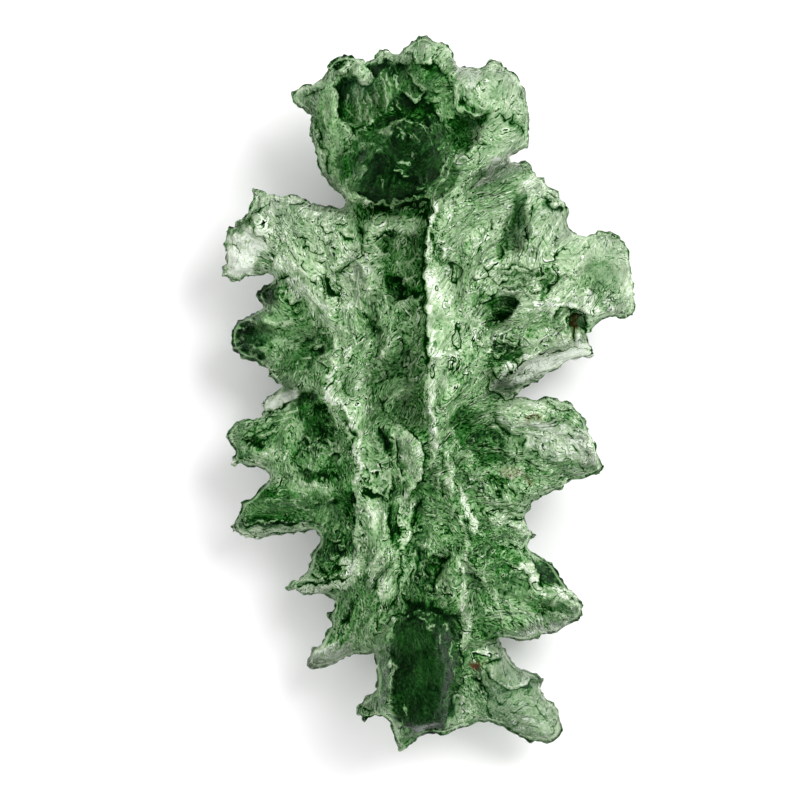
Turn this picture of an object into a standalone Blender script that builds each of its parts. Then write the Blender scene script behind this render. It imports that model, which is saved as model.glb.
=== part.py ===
"""Moldavite: one lump of natural green glass, deeply etched, lying on its back.

The stone is a thick core with two bosses, one in the crown and one in the foot,
and thin fins that stand out from it to both sides. It is modelled as overlapping
lobes, each a slab with its own outline, level and thickness. The lobes are fused
into one closed body, the ridges and hollows are raised and carved in its upper
face, and the spots that it rests on are cut level.

All tables are in millimetres, in the stone's own frame: +X to the right, +Y towards
the crown, +Z up from the surface that the stone lies on.
"""

from dataclasses import dataclass

import bmesh
import bpy
import numpy as np
from mathutils import Vector, noise

NODE_NAME = "moldavite"
MM = 0.001  # metres in a millimetre

LAY_SPACING = 0.2  # grid of a lobe before the lobes are fused
FUSE_VOXEL = 0.17  # fineness of the fused body
TRIANGLES = 9400  # facets of the finished solid
SMOOTH_PASSES = 2

ETCH_DEPTH = 0.36  # lumps and flutes over the whole skin
ETCH_LENGTH = 3.2  # along the grain of the glass
ETCH_WIDTH = 1.2  # across the grain
CORE_HALF_WIDTH = 3.5  # inside it the grain runs along the stone, outside it outwards
BUCKLE = 0.55  # how far the fins wave up and down
BUCKLE_LENGTH = 7.0
BUCKLE_FADE = 3.5  # the stone's underside stays unbuckled up to about this height
KEEL_WIDTH = 0.9  # ribs under the arms
NOISE_SEED = Vector((17.3, 4.1, 9.7))

GLASS_GREEN = (0.10, 0.33, 0.12, 1.0)
GLASS_IOR = 1.49


@dataclass
class Lobe:
    """A slab of glass: its outline seen from above, and how it runs from root to tip."""

    outline: tuple
    root: tuple  # where the levels and thicknesses start
    tip: tuple  # where they end
    level: tuple  # height of the middle of the slab, at the root and at the tip
    thick: tuple  # thickness well inside the outline, at the root and at the tip
    rim: float = 0.42  # thickness left at the outline
    swell: float = 1.6  # distance inside the outline where the full thickness is reached
    keel: float = 0.0  # height of a rib under the slab, from root to tip


@dataclass
class Crease:
    """A ridge (height above 0) or groove (below 0) along a path on a face of the lobes."""

    path: tuple
    height: float
    width: float


@dataclass
class Hollow:
    """A part of a face that lies deeper by depth, with walls of the given run."""

    outline: tuple
    depth: float
    wall: float


LOBES = {
    "core": Lobe(
        outline=(
            (-5.2, 12.6), (-2.0, 14.6), (1.2, 13.8), (2.8, 9.5), (3.8, 4.5), (4.2, 0.0),
            (3.8, -5.0), (3.4, -10.0), (2.7, -15.0), (1.6, -18.5), (-1.0, -19.5),
            (-2.9, -17.6), (-3.8, -14.0), (-4.8, -9.5), (-5.8, -4.0), (-6.6, 1.0),
            (-6.2, 6.0), (-5.6, 10.0),
        ),
        root=(-0.8, 12.0), tip=(-0.4, -17.0), level=(4.9, 4.7), thick=(7.4, 7.0),
        rim=0.8, swell=3.6,
    ),
    "crown_cup": Lobe(
        outline=(
            (-5.4, 12.6), (-6.0, 13.4), (-6.4, 13.9), (-6.8, 14.3), (-6.85, 14.9), (-7.1, 15.5),
            (-7.3, 16.3), (-7.35, 16.8), (-7.15, 17.6), (-6.9, 18.2), (-6.6, 18.9), (-6.4, 19.6),
            (-6.0, 20.4), (-5.2, 20.8), (-4.3, 20.7), (-3.8, 20.4), (-3.6, 21.05), (-3.35, 20.9),
            (-2.85, 21.85), (-2.4, 21.3), (-2.0, 21.6), (-1.6, 21.8), (-1.0, 21.6), (0.2, 21.6),
            (1.3, 21.3), (1.7, 20.4), (1.9, 19.4), (3.1, 17.6), (3.7, 15.2), (3.2, 13.2),
            (1.5, 12.2), (-2.0, 11.6),
        ),
        root=(-1.5, 14.5), tip=(-2.0, 21.5), level=(5.3, 7.4), thick=(6.6, 1.5), swell=2.2,
    ),
    "crown_prong": Lobe(
        outline=(
            (-6.3, 19.9), (-6.7, 19.65), (-7.0, 19.35), (-7.5, 19.45), (-7.9, 19.1), (-8.3, 19.0),
            (-8.65, 18.75), (-8.5, 18.4), (-8.0, 18.05), (-7.5, 17.8), (-7.1, 17.4), (-6.2, 17.2),
            (-5.4, 18.4),
        ),
        root=(-6.2, 18.6), tip=(-8.5, 18.7), level=(7.2, 6.2), thick=(2.0, 1.1), swell=0.9,
    ),
    "crown_petal_left": Lobe(
        outline=(
            (-6.3, 20.0), (-6.4, 20.8), (-6.0, 21.0), (-5.5, 21.15), (-4.9, 21.35), (-4.4, 21.2),
            (-3.95, 20.9), (-3.5, 20.3), (-3.6, 19.6), (-4.1, 19.3), (-4.7, 19.6), (-5.1, 20.0),
            (-5.8, 19.7),
        ),
        root=(-4.4, 19.6), tip=(-5.3, 21.2), level=(8.6, 8.0), thick=(2.4, 1.2), swell=0.9,
    ),
    "crown_petal_top": Lobe(
        outline=(
            (-1.8, 21.3), (-1.5, 21.9), (-1.2, 22.2), (-0.6, 22.25), (0.0, 22.45), (0.6, 22.25),
            (1.0, 22.05), (1.55, 22.15), (1.5, 21.3), (1.7, 20.6), (1.9, 19.5), (1.4, 19.1),
            (0.5, 18.75), (-0.4, 19.0), (-1.1, 19.5), (-1.2, 20.4),
        ),
        root=(0.3, 19.2), tip=(0.2, 22.3), level=(9.0, 8.0), thick=(2.6, 1.3), swell=1.0,
    ),
    "crown_lobe_right": Lobe(
        outline=(
            (1.7, 20.75), (2.0, 20.75), (2.55, 21.0), (2.75, 20.6), (3.1, 20.65), (3.45, 20.9),
            (3.8, 21.6), (4.0, 21.15), (4.3, 21.0), (4.8, 20.8), (5.2, 20.55), (5.65, 20.15),
            (5.95, 19.7), (6.2, 19.1), (6.15, 18.5), (6.35, 17.9), (6.45, 17.2), (6.6, 16.6),
            (6.5, 16.1), (6.6, 15.5), (6.0, 15.2), (5.4, 15.1), (5.1, 14.8), (4.9, 14.5),
            (4.6, 14.0), (3.8, 13.6), (3.0, 12.6), (1.0, 12.8), (0.8, 15.5), (1.0, 17.5),
            (1.4, 19.0),
        ),
        root=(2.0, 16.0), tip=(6.0, 18.5), level=(6.0, 6.6), thick=(3.8, 1.6), swell=1.5, keel=0.7,
    ),
    "crown_boss": Lobe(
        outline=(
            (-4.8, 12.15), (-3.5, 11.9), (-2.0, 12.2), (-0.5, 11.95), (0.2, 12.2), (0.4, 13.5),
            (1.0, 14.6), (0.6, 15.6), (0.0, 16.4), (-0.6, 17.1), (-1.6, 17.25), (-2.6, 16.8),
            (-3.4, 16.4), (-4.1, 16.6), (-4.6, 15.9), (-5.2, 15.1), (-5.6, 14.5), (-5.3, 13.3),
        ),
        root=(-1.8, 12.6), tip=(-1.6, 16.8), level=(7.5, 7.1), thick=(7.4, 6.0),
        rim=2.6, swell=2.0,
    ),
    "crown_belly": Lobe(
        outline=(
            (-4.2, 12.3), (-5.2, 13.6), (-5.5, 15.6), (-4.9, 17.6), (-3.2, 19.0), (-0.8, 19.4),
            (1.6, 18.6), (2.9, 16.6), (2.6, 14.2), (1.2, 12.6), (-1.6, 11.9),
        ),
        root=(-1.0, 13.0), tip=(-1.0, 18.6), level=(2.9, 3.3), thick=(7.0, 6.0), rim=1.0, swell=3.4,
    ),
    "left_top_fan": Lobe(
        outline=(
            (-5.3, 11.5), (-5.8, 11.9), (-6.3, 11.85), (-7.0, 11.95), (-7.5, 12.2), (-8.0, 12.6),
            (-8.4, 12.8), (-9.0, 12.6), (-9.6, 12.75), (-10.2, 12.75), (-10.6, 13.0), (-11.1, 13.6),
            (-11.2, 12.9), (-11.1, 12.3), (-11.0, 11.6), (-11.5, 11.2), (-12.1, 11.0), (-12.5, 10.7),
            (-12.65, 10.2), (-12.85, 9.6), (-13.0, 9.0), (-13.1, 8.4), (-12.95, 7.8), (-12.75, 7.25),
            (-12.2, 7.15), (-11.7, 7.35), (-11.2, 7.55), (-10.6, 7.6), (-10.1, 7.65), (-9.6, 7.4),
            (-8.6, 6.8), (-7.6, 5.6), (-6.0, 3.5), (-4.0, 4.0), (-3.5, 10.0),
        ),
        root=(-5.5, 8.5), tip=(-12.0, 9.0), level=(6.3, 5.4), thick=(3.6, 0.9), swell=1.4, keel=0.8,
    ),
    "left_knuckle": Lobe(
        outline=(
            (-8.6, 7.5), (-9.5, 7.5), (-9.75, 7.1), (-10.1, 6.9), (-10.6, 6.9), (-11.05, 6.65),
            (-10.6, 6.25), (-10.35, 5.95), (-10.1, 5.7), (-10.5, 5.5), (-11.0, 5.45), (-11.3, 5.2),
            (-11.6, 4.9), (-12.0, 4.7), (-12.4, 4.4), (-12.35, 3.8), (-12.45, 3.2), (-12.2, 2.75),
            (-11.8, 2.4), (-11.3, 2.3), (-10.8, 2.35), (-10.4, 2.1), (-10.1, 1.7), (-9.95, 1.4),
            (-9.9, 1.0), (-9.1, 0.9), (-8.6, 0.7), (-8.2, 0.3), (-7.5, 0.0), (-6.0, -0.8),
            (-4.0, 1.0), (-4.0, 5.0), (-6.0, 7.0),
        ),
        root=(-6.5, 3.5), tip=(-12.0, 3.8), level=(4.6, 5.0), thick=(5.2, 3.4), swell=1.5, keel=0.7,
    ),
    "left_splinter": Lobe(
        outline=(
            (-8.2, 0.4), (-8.5, 0.75), (-8.8, 0.6), (-9.2, 0.45), (-9.7, 0.3), (-10.15, 0.2),
            (-10.4, -0.1), (-10.75, -0.45), (-10.65, -0.8), (-10.6, -1.35), (-9.6, -1.5),
            (-8.4, -1.2), (-6.5, -1.8), (-5.5, 0.0), (-6.5, 0.8),
        ),
        root=(-7.0, -0.4), tip=(-10.5, -0.5), level=(3.4, 3.6), thick=(2.4, 0.8), swell=0.8,
    ),
    "left_second_arm": Lobe(
        outline=(
            (-6.0, 0.3), (-7.0, 0.05), (-8.0, -0.15), (-9.0, -0.6), (-9.8, -0.9), (-10.5, -1.15),
            (-11.0, -1.35), (-11.5, -1.35), (-11.9, -1.55), (-12.15, -1.45), (-12.4, -2.0),
            (-12.75, -2.2), (-12.65, -2.65), (-12.25, -2.95), (-12.1, -3.3), (-12.25, -3.7),
            (-12.5, -4.05), (-12.9, -4.4), (-12.3, -4.45), (-11.8, -4.45), (-11.3, -4.35),
            (-10.8, -4.4), (-10.3, -4.55), (-10.0, -4.8), (-9.75, -5.0), (-8.5, -5.6),
            (-6.0, -6.0), (-3.5, -5.0), (-3.5, -1.0),
        ),
        root=(-6.5, -2.6), tip=(-12.4, -2.8), level=(4.9, 5.2), thick=(6.2, 2.4), swell=1.7, keel=0.6,
    ),
    "left_third_arm": Lobe(
        outline=(
            (-8.0, -4.3), (-9.7, -4.85), (-9.95, -5.2), (-10.1, -5.45), (-10.4, -5.75), (-10.8, -5.95),
            (-11.4, -6.15), (-11.95, -6.3), (-11.85, -6.8), (-11.75, -7.4), (-11.65, -8.0),
            (-10.5, -8.05), (-9.0, -8.05), (-8.0, -8.2), (-6.9, -8.4), (-6.2, -9.4), (-3.5, -9.0),
            (-3.0, -6.0), (-5.0, -4.0),
        ),
        root=(-6.0, -7.0), tip=(-11.7, -7.0), level=(4.8, 5.6), thick=(5.4, 3.0), swell=1.5, keel=0.8,
    ),
    "left_third_lip": Lobe(
        outline=(
            (-11.6, -6.6), (-12.0, -7.1), (-12.2, -7.5), (-12.4, -7.9), (-12.9, -7.9), (-13.0, -8.35),
            (-12.6, -8.75), (-12.0, -8.95), (-11.4, -9.15), (-10.9, -9.2), (-10.3, -9.05),
            (-9.6, -8.85), (-9.0, -8.65), (-8.0, -8.5), (-7.2, -8.5), (-6.75, -8.6), (-6.2, -9.2),
            (-4.5, -8.0), (-7.0, -6.8), (-10.0, -6.6),
        ),
        root=(-7.0, -8.0), tip=(-12.6, -8.3), level=(3.6, 3.8), thick=(1.8, 0.9), swell=0.8,
    ),
    "left_fourth_arm": Lobe(
        outline=(
            (-6.6, -8.3), (-6.65, -8.9), (-6.85, -9.3), (-7.1, -9.7), (-7.4, -10.3), (-7.6, -10.8),
            (-8.0, -11.2), (-8.4, -11.55), (-8.9, -11.7), (-9.3, -12.05), (-8.6, -12.15),
            (-8.0, -12.1), (-7.2, -12.0), (-6.2, -11.8), (-5.0, -12.4), (-3.0, -13.0),
            (-2.5, -9.0), (-5.0, -7.8),
        ),
        root=(-5.0, -10.4), tip=(-8.9, -12.0), level=(5.0, 4.6), thick=(5.0, 1.4), swell=1.3, keel=0.6,
    ),
    "left_fourth_lip": Lobe(
        outline=(
            (-8.7, -11.7), (-9.3, -12.05), (-9.05, -12.35), (-8.8, -12.25), (-8.4, -12.35),
            (-8.15, -12.7), (-7.3, -12.5), (-6.8, -12.45), (-6.3, -12.5), (-5.9, -12.75),
            (-5.0, -13.2), (-4.0, -12.0), (-4.5, -11.0), (-6.0, -11.1), (-7.5, -11.4),
        ),
        root=(-5.2, -11.9), tip=(-8.8, -12.2), level=(3.2, 3.4), thick=(1.6, 0.8), swell=0.7,
    ),
    "left_fifth_arm": Lobe(
        outline=(
            (-5.6, -12.3), (-5.7, -13.0), (-5.9, -13.35), (-6.2, -13.4), (-6.7, -13.3), (-6.5, -13.7),
            (-6.2, -14.0), (-6.1, -14.3), (-6.4, -14.7), (-6.55, -15.1), (-6.9, -15.45), (-7.4, -15.85),
            (-7.8, -16.35), (-8.0, -17.0), (-7.9, -17.6), (-7.5, -17.3), (-7.0, -17.1), (-6.0, -16.8),
            (-5.5, -16.65), (-4.8, -16.3), (-4.0, -16.1), (-3.1, -16.1), (-1.5, -16.5),
            (-1.5, -12.0), (-4.0, -11.0),
        ),
        root=(-3.8, -13.6), tip=(-7.7, -16.8), level=(4.8, 3.9), thick=(5.2, 1.0), swell=1.3, keel=0.7,
    ),
    "foot_boss": Lobe(
        outline=(
            (-2.3, -13.6), (-1.5, -13.15), (-0.7, -13.0), (0.1, -13.15), (0.8, -13.45), (1.3, -13.9),
            (1.55, -14.8), (1.7, -15.8), (1.85, -17.0), (1.8, -17.6), (1.5, -18.6), (1.2, -19.5),
            (1.1, -20.4), (0.3, -20.5), (-0.2, -20.65), (-0.7, -20.8), (-1.2, -20.65), (-1.65, -20.35),
            (-1.8, -20.0), (-2.6, -19.9), (-3.0, -19.8), (-3.05, -19.0), (-3.25, -18.0), (-3.2, -17.5),
            (-3.45, -17.1), (-3.2, -16.6), (-3.1, -16.0), (-2.9, -14.8),
        ),
        root=(-0.5, -14.0), tip=(-0.6, -20.0), level=(7.3, 7.3), thick=(6.8, 6.2),
        rim=2.4, swell=2.1,
    ),
    "foot_belly": Lobe(
        outline=(
            (-2.8, -14.4), (-1.2, -13.2), (0.8, -13.5), (2.1, -15.1), (2.5, -17.2), (1.9, -19.0),
            (0.2, -19.9), (-1.7, -19.6), (-3.0, -18.2), (-3.3, -16.4),
        ),
        root=(-0.3, -14.6), tip=(-0.4, -19.2), level=(3.0, 3.2), thick=(6.7, 5.4), rim=1.0, swell=2.8,
    ),
    "foot_toe": Lobe(
        outline=(
            (-3.1, -17.4), (-3.25, -18.0), (-3.65, -18.5), (-4.15, -18.95), (-4.55, -19.3),
            (-4.8, -19.8), (-4.45, -20.35), (-4.1, -20.6), (-3.85, -20.55), (-3.5, -20.2),
            (-3.0, -20.0), (-2.3, -20.0), (-1.6, -19.9), (-0.8, -18.8), (-1.5, -17.0),
        ),
        root=(-2.2, -18.8), tip=(-4.5, -20.0), level=(4.8, 4.4), thick=(5.2, 2.6), swell=1.2,
    ),
    "foot_fan": Lobe(
        outline=(
            (3.4, -14.6), (4.1, -14.9), (4.4, -15.2), (4.75, -15.65), (5.25, -16.2), (5.75, -16.85),
            (6.2, -17.35), (6.8, -17.45), (7.6, -17.6), (7.35, -18.0), (7.55, -18.5), (8.05, -19.1),
            (8.65, -19.45), (8.75, -19.9), (8.55, -20.5), (8.85, -21.0), (8.45, -21.45),
            (7.9, -21.95), (7.6, -21.85), (7.4, -21.75), (7.0, -21.95), (6.4, -22.35), (6.05, -22.2),
            (5.85, -21.95), (5.5, -21.65), (5.1, -21.55), (4.7, -21.05), (4.1, -20.75), (3.5, -20.55),
            (3.0, -20.55), (2.5, -20.75), (2.0, -21.1), (1.4, -21.2), (0.9, -21.3), (0.6, -21.5),
            (0.25, -21.35), (0.05, -21.1), (-0.3, -21.35), (-0.8, -21.8), (-1.3, -22.0),
            (-1.5, -22.25), (-1.75, -22.5), (-2.05, -22.2), (-2.05, -21.6), (-2.15, -21.0),
            (-2.25, -20.4), (-2.3, -19.6), (-1.0, -18.0), (0.0, -15.0), (2.0, -13.0),
        ),
        root=(2.4, -16.0), tip=(7.0, -20.5), level=(4.2, 3.2), thick=(2.8, 1.0), swell=1.2, keel=0.7,
    ),
    "right_top_fan": Lobe(
        outline=(
            (0.6, 12.6), (1.5, 13.2), (3.0, 13.1), (4.2, 13.6), (4.9, 14.0), (5.4, 14.3), (5.9, 14.7),
            (6.2, 14.8), (6.6, 14.4), (6.4, 14.05), (7.0, 13.65), (7.4, 13.3), (7.8, 13.1),
            (8.25, 13.05), (8.5, 12.7), (8.45, 12.4), (8.8, 12.15), (8.9, 11.7), (8.95, 11.35),
            (8.75, 11.0), (8.8, 10.5), (9.0, 10.1), (9.6, 9.9), (9.6, 8.0), (9.5, 5.5), (10.6, 4.6),
            (10.6, 4.0), (10.2, 3.6), (9.6, 3.65), (9.1, 3.6), (8.8, 3.05), (8.0, 2.95), (7.0, 2.9),
            (6.0, 2.3), (5.2, 1.6), (4.4, 1.1), (3.6, 0.9), (2.0, -0.5), (0.0, 0.0), (-0.6, 5.0),
            (-0.2, 10.0),
        ),
        root=(2.0, 8.0), tip=(8.8, 8.5), level=(6.0, 6.3), thick=(5.0, 2.2), swell=1.6, keel=0.7,
    ),
    "right_ear": Lobe(
        outline=(
            (8.4, 9.9), (9.0, 10.1), (9.4, 10.0), (10.0, 10.15), (10.5, 10.45), (10.95, 10.6),
            (11.4, 10.35), (11.9, 10.05), (12.25, 9.65), (12.55, 9.0), (12.75, 8.4), (12.95, 7.7),
            (13.05, 7.0), (13.1, 6.3), (13.15, 5.9), (13.05, 5.4), (13.05, 5.0), (12.75, 4.7),
            (12.2, 4.55), (11.5, 4.55), (11.0, 4.6), (10.6, 4.35), (10.0, 4.2), (9.0, 4.6),
            (7.5, 5.6), (6.0, 6.5), (6.0, 8.0), (7.0, 9.5),
        ),
        root=(8.0, 7.5), tip=(12.8, 7.0), level=(6.2, 5.6), thick=(3.2, 1.6), swell=1.5, keel=0.6,
    ),
    "right_shelf": Lobe(
        outline=(
            (10.1, 3.9), (10.3, 3.2), (10.5, 2.95), (10.85, 2.85), (10.85, 2.0), (10.4, 2.1),
            (9.9, 2.25), (9.3, 2.15), (8.6, 2.05), (8.1, 1.9), (8.45, 1.65), (8.15, 1.35), (7.6, 1.4),
            (7.2, 1.25), (6.8, 1.0), (6.3, 0.65), (6.0, 0.35), (5.9, 0.0), (5.5, 0.1), (5.0, -0.3),
            (4.0, -0.5), (2.5, 1.0), (2.0, 3.0), (6.0, 5.0), (9.0, 5.0),
        ),
        root=(4.5, 2.2), tip=(10.0, 2.4), level=(3.8, 3.4), thick=(2.2, 0.8), swell=0.9,
    ),
    "right_middle_fan": Lobe(
        outline=(
            (4.2, 0.1), (5.0, 0.08), (6.0, 0.05), (6.5, 0.05), (7.0, 0.1), (7.4, 0.3), (7.8, 0.2),
            (8.1, 0.0), (8.5, -0.1), (9.0, -0.2), (9.35, -0.3), (9.65, -0.7), (9.85, -1.1),
            (10.15, -1.5), (10.35, -2.2), (10.55, -2.8), (10.7, -3.4), (10.95, -4.2), (11.25, -4.7),
            (10.8, -4.95), (10.2, -5.0), (9.6, -5.1), (9.1, -5.35), (8.75, -5.5), (8.8, -5.8),
            (8.5, -6.0), (8.0, -6.15), (7.2, -6.45), (6.6, -6.65), (5.0, -7.4), (2.0, -6.5),
            (1.5, -1.0), (3.5, -0.4),
        ),
        root=(3.5, -3.4), tip=(10.4, -2.8), level=(4.9, 6.0), thick=(5.8, 1.6), swell=1.5, keel=0.8,
    ),
    "right_tooth": Lobe(
        outline=(
            (6.4, -6.5), (6.7, -7.1), (6.4, -7.4), (6.35, -7.6), (6.55, -8.0), (6.95, -8.3),
            (7.35, -8.6), (6.95, -8.95), (6.8, -9.15), (6.4, -9.3), (6.0, -9.8), (4.0, -10.0),
            (1.5, -8.0), (2.0, -5.5), (5.0, -6.0),
        ),
        root=(3.5, -7.8), tip=(7.0, -8.6), level=(4.6, 4.4), thick=(4.4, 0.9), swell=1.2, keel=0.6,
    ),
    "right_low_arm": Lobe(
        outline=(
            (5.6, -9.2), (6.3, -9.5), (6.6, -9.75), (7.2, -9.9), (7.65, -10.1), (8.05, -10.55),
            (8.45, -10.95), (8.7, -11.35), (8.65, -11.85), (9.05, -12.2), (9.55, -12.45),
            (10.15, -12.9), (9.85, -13.4), (9.6, -13.7), (9.5, -14.15), (8.95, -14.25),
            (8.6, -14.55), (7.9, -14.9), (7.2, -15.05), (6.4, -15.25), (5.8, -15.45), (5.4, -15.25),
            (4.8, -15.05), (4.3, -15.1), (3.0, -15.8), (1.5, -14.5), (1.5, -9.0), (4.0, -8.0),
        ),
        root=(3.5, -12.0), tip=(9.6, -13.0), level=(4.9, 5.0), thick=(5.6, 1.2), swell=1.6, keel=0.8,
    ),
    "left_heel": Lobe(
        outline=(
            (-10.4, -2.8), (-9.4, -1.3), (-7.4, -0.4), (-5.2, 0.2), (-3.6, -0.6), (-3.4, -2.4),
            (-3.9, -3.9), (-5.8, -4.4), (-7.6, -5.0), (-9.2, -4.0),
        ),
        root=(-6.4, -2.2), tip=(-9.8, -2.8), level=(2.7, 3.8), thick=(6.3, 3.4), rim=0.9, swell=2.4,
    ),
    "right_heel": Lobe(
        outline=(
            (2.6, 4.0), (2.8, 6.4), (4.6, 7.6), (6.2, 8.8), (8.4, 8.4), (10.3, 7.7), (10.0, 6.2),
            (8.4, 5.2), (7.2, 3.4), (5.0, 3.2), (3.8, 2.4),
        ),
        root=(5.8, 5.8), tip=(9.8, 7.0), level=(2.9, 4.2), thick=(6.7, 3.8), rim=0.9, swell=2.5,
    ),
}

UPPER_HOLLOWS = {
    "central_trough": Hollow(
        outline=(
            (-4.7, 11.9), (-0.4, 11.9), (-0.2, 10.6), (0.0, 9.2), (-0.3, 7.9), (-0.8, 6.6),
            (-0.4, 5.4), (-0.2, 3.8), (-0.4, 2.0), (-0.6, 0.2), (-0.3, -1.6), (-1.3, -2.2),
            (-2.4, -1.5), (-3.6, -1.2), (-3.9, 0.4), (-3.8, 2.6), (-4.1, 4.9), (-5.2, 6.0),
            (-5.9, 7.2), (-5.6, 7.9), (-4.5, 8.6), (-4.2, 9.6), (-4.7, 10.6),
        ),
        depth=1.3, wall=0.8,
    ),
    "trough_deep": Hollow(
        outline=((-2.9, 9.8), (-0.8, 10.0), (-0.4, 8.6), (-1.0, 6.3), (-2.6, 6.0), (-3.1, 7.8)),
        depth=0.6, wall=0.8,
    ),
    "trough_low": Hollow(
        outline=((-3.4, 2.0), (-1.0, 2.6), (-0.7, 0.6), (-1.0, -1.0), (-3.2, -0.8), (-3.6, 0.6)),
        depth=0.5, wall=0.8,
    ),
    "crown_left_pocket": Hollow(
        outline=((-5.5, 17.0), (-5.6, 19.0), (-4.9, 19.7), (-3.0, 18.9), (-2.6, 17.8), (-4.3, 16.9)),
        depth=1.1, wall=0.7,
    ),
    "crown_right_pocket": Hollow(
        outline=((1.0, 16.0), (1.5, 17.4), (3.6, 17.5), (3.1, 16.7), (2.7, 15.4), (1.8, 15.0)),
        depth=1.2, wall=0.5,
    ),
    "right_upper_cleft": Hollow(
        outline=((4.9, 11.4), (5.6, 12.2), (6.0, 11.8), (6.0, 9.2), (5.4, 8.9), (4.7, 9.8)),
        depth=1.0, wall=0.5,
    ),
    "right_cave": Hollow(
        outline=((3.6, 4.4), (4.0, 5.9), (5.2, 6.4), (5.5, 5.6), (4.9, 4.6), (4.1, 4.0)),
        depth=1.1, wall=0.5,
    ),
    "right_gully": Hollow(
        outline=((3.6, 2.1), (4.4, 3.2), (5.9, 3.3), (5.7, 2.3), (4.6, 1.6)),
        depth=0.8, wall=0.5,
    ),
    "right_ear_dish": Hollow(
        outline=((9.5, 7.2), (10.4, 8.2), (11.7, 7.9), (11.6, 6.8), (11.0, 6.1), (10.2, 6.5)),
        depth=0.5, wall=0.7,
    ),
    "right_ear_hole": Hollow(
        outline=((8.9, 4.5), (9.1, 5.4), (9.6, 5.3), (9.5, 4.4), (9.2, 4.0)),
        depth=1.5, wall=0.4,
    ),
    "right_middle_dish": Hollow(
        outline=((1.8, -1.4), (3.6, -1.2), (4.6, -2.8), (4.4, -4.8), (3.0, -5.0), (2.1, -3.4)),
        depth=0.6, wall=0.9,
    ),
    "right_low_dish": Hollow(
        outline=((6.5, -10.3), (7.6, -10.4), (8.4, -11.3), (8.1, -11.9), (6.9, -11.8), (6.4, -11.2)),
        depth=0.7, wall=0.4,
    ),
    "right_low_scoop": Hollow(
        outline=((6.6, -12.6), (8.2, -12.6), (8.6, -13.3), (7.4, -13.7), (6.7, -13.4)),
        depth=0.6, wall=0.5,
    ),
    "left_knuckle_dish": Hollow(
        outline=((-9.4, 1.8), (-8.2, 3.6), (-6.6, 4.2), (-6.2, 2.4), (-7.0, 1.2), (-8.6, 1.1)),
        depth=0.8, wall=0.8,
    ),
    "left_second_dish": Hollow(
        outline=((-8.4, -1.2), (-6.8, -0.5), (-5.4, -1.4), (-5.2, -3.4), (-6.4, -4.3), (-8.4, -3.4)),
        depth=1.0, wall=0.9,
    ),
    "left_third_flute": Hollow(
        outline=((-11.4, -6.9), (-11.2, -7.7), (-7.0, -8.0), (-5.0, -8.2), (-4.9, -6.7), (-8.0, -6.7)),
        depth=0.8, wall=0.7,
    ),
    "left_fourth_dish": Hollow(
        outline=((-7.2, -9.9), (-5.4, -8.8), (-4.6, -9.8), (-5.4, -11.0), (-7.0, -11.3)),
        depth=0.7, wall=0.7,
    ),
}

LOWER_HOLLOWS = {
    "belly_gully": Hollow(
        outline=((0.2, 10.8), (1.3, 10.2), (1.4, 2.0), (0.7, -6.0), (-0.3, -5.6), (-0.2, 3.0)),
        depth=1.2, wall=1.2,
    ),
    "belly_scoop_high": Hollow(
        outline=((-4.4, 9.8), (-2.4, 10.0), (-2.0, 7.0), (-2.6, 4.4), (-4.6, 5.0)),
        depth=1.0, wall=1.2,
    ),
    "belly_scoop_low": Hollow(
        outline=((-3.4, -4.0), (-1.8, -4.6), (-1.4, -8.6), (-2.8, -10.8), (-3.8, -8.0)),
        depth=0.9, wall=1.1,
    ),
    "belly_scoop_side": Hollow(
        outline=((2.0, -0.4), (3.6, -1.2), (3.4, -4.6), (2.2, -6.6), (1.6, -3.6)),
        depth=1.0, wall=1.0,
    ),
}

LOWER_CREASES = {
    "crown_fold_left": Crease(
        path=((-3.0, 12.4), (-3.9, 14.4), (-3.5, 16.8), (-4.8, 19.2)), height=-0.9, width=0.6,
    ),
    "crown_fold_right": Crease(
        path=((1.1, 12.8), (0.9, 14.6), (1.7, 16.8), (2.3, 18.6)), height=-0.9, width=0.6,
    ),
    "crown_rib": Crease(path=((-5.0, 13.8), (-5.2, 16.2), (-6.2, 18.4)), height=0.8, width=0.6),
    "crown_rib_high": Crease(path=((-0.8, 17.6), (-0.2, 19.4), (0.4, 21.6)), height=0.8, width=0.8),
    "foot_fold": Crease(path=((1.1, -13.8), (0.7, -16.0), (1.4, -18.6)), height=-0.8, width=0.5),
    "foot_rib": Crease(path=((-2.4, -14.2), (-2.6, -16.4), (-3.4, -18.6)), height=0.7, width=0.6),
    "spine_left": Crease(
        path=((-4.5, 10.4), (-5.0, 7.0), (-4.6, 3.4), (-4.8, 0.2), (-3.8, -5.2), (-3.0, -11.0)),
        height=0.8, width=0.7,
    ),
    "spine_right": Crease(
        path=((2.3, 10.8), (3.1, 6.6), (2.6, 3.0), (3.0, -0.6), (2.3, -5.8), (1.8, -12.0)),
        height=0.8, width=0.7,
    ),
    "cross_high": Crease(path=((-5.2, 2.0), (-3.0, 2.6), (-0.8, 1.6)), height=-0.8, width=0.6),
    "cross_low": Crease(path=((-3.4, -6.4), (-1.6, -7.6), (0.6, -7.2)), height=-0.7, width=0.6),
    "cross_foot": Crease(path=((-2.8, -12.4), (-0.6, -11.4), (1.8, -12.2)), height=-0.8, width=0.6),
    "left_heel_fold": Crease(path=((-5.0, 0.4), (-5.6, -1.4), (-5.0, -3.2)), height=-0.6, width=0.5),
    "right_heel_fold": Crease(path=((3.6, 7.0), (3.9, 5.4), (3.4, 3.2)), height=-0.6, width=0.5),
}

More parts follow.
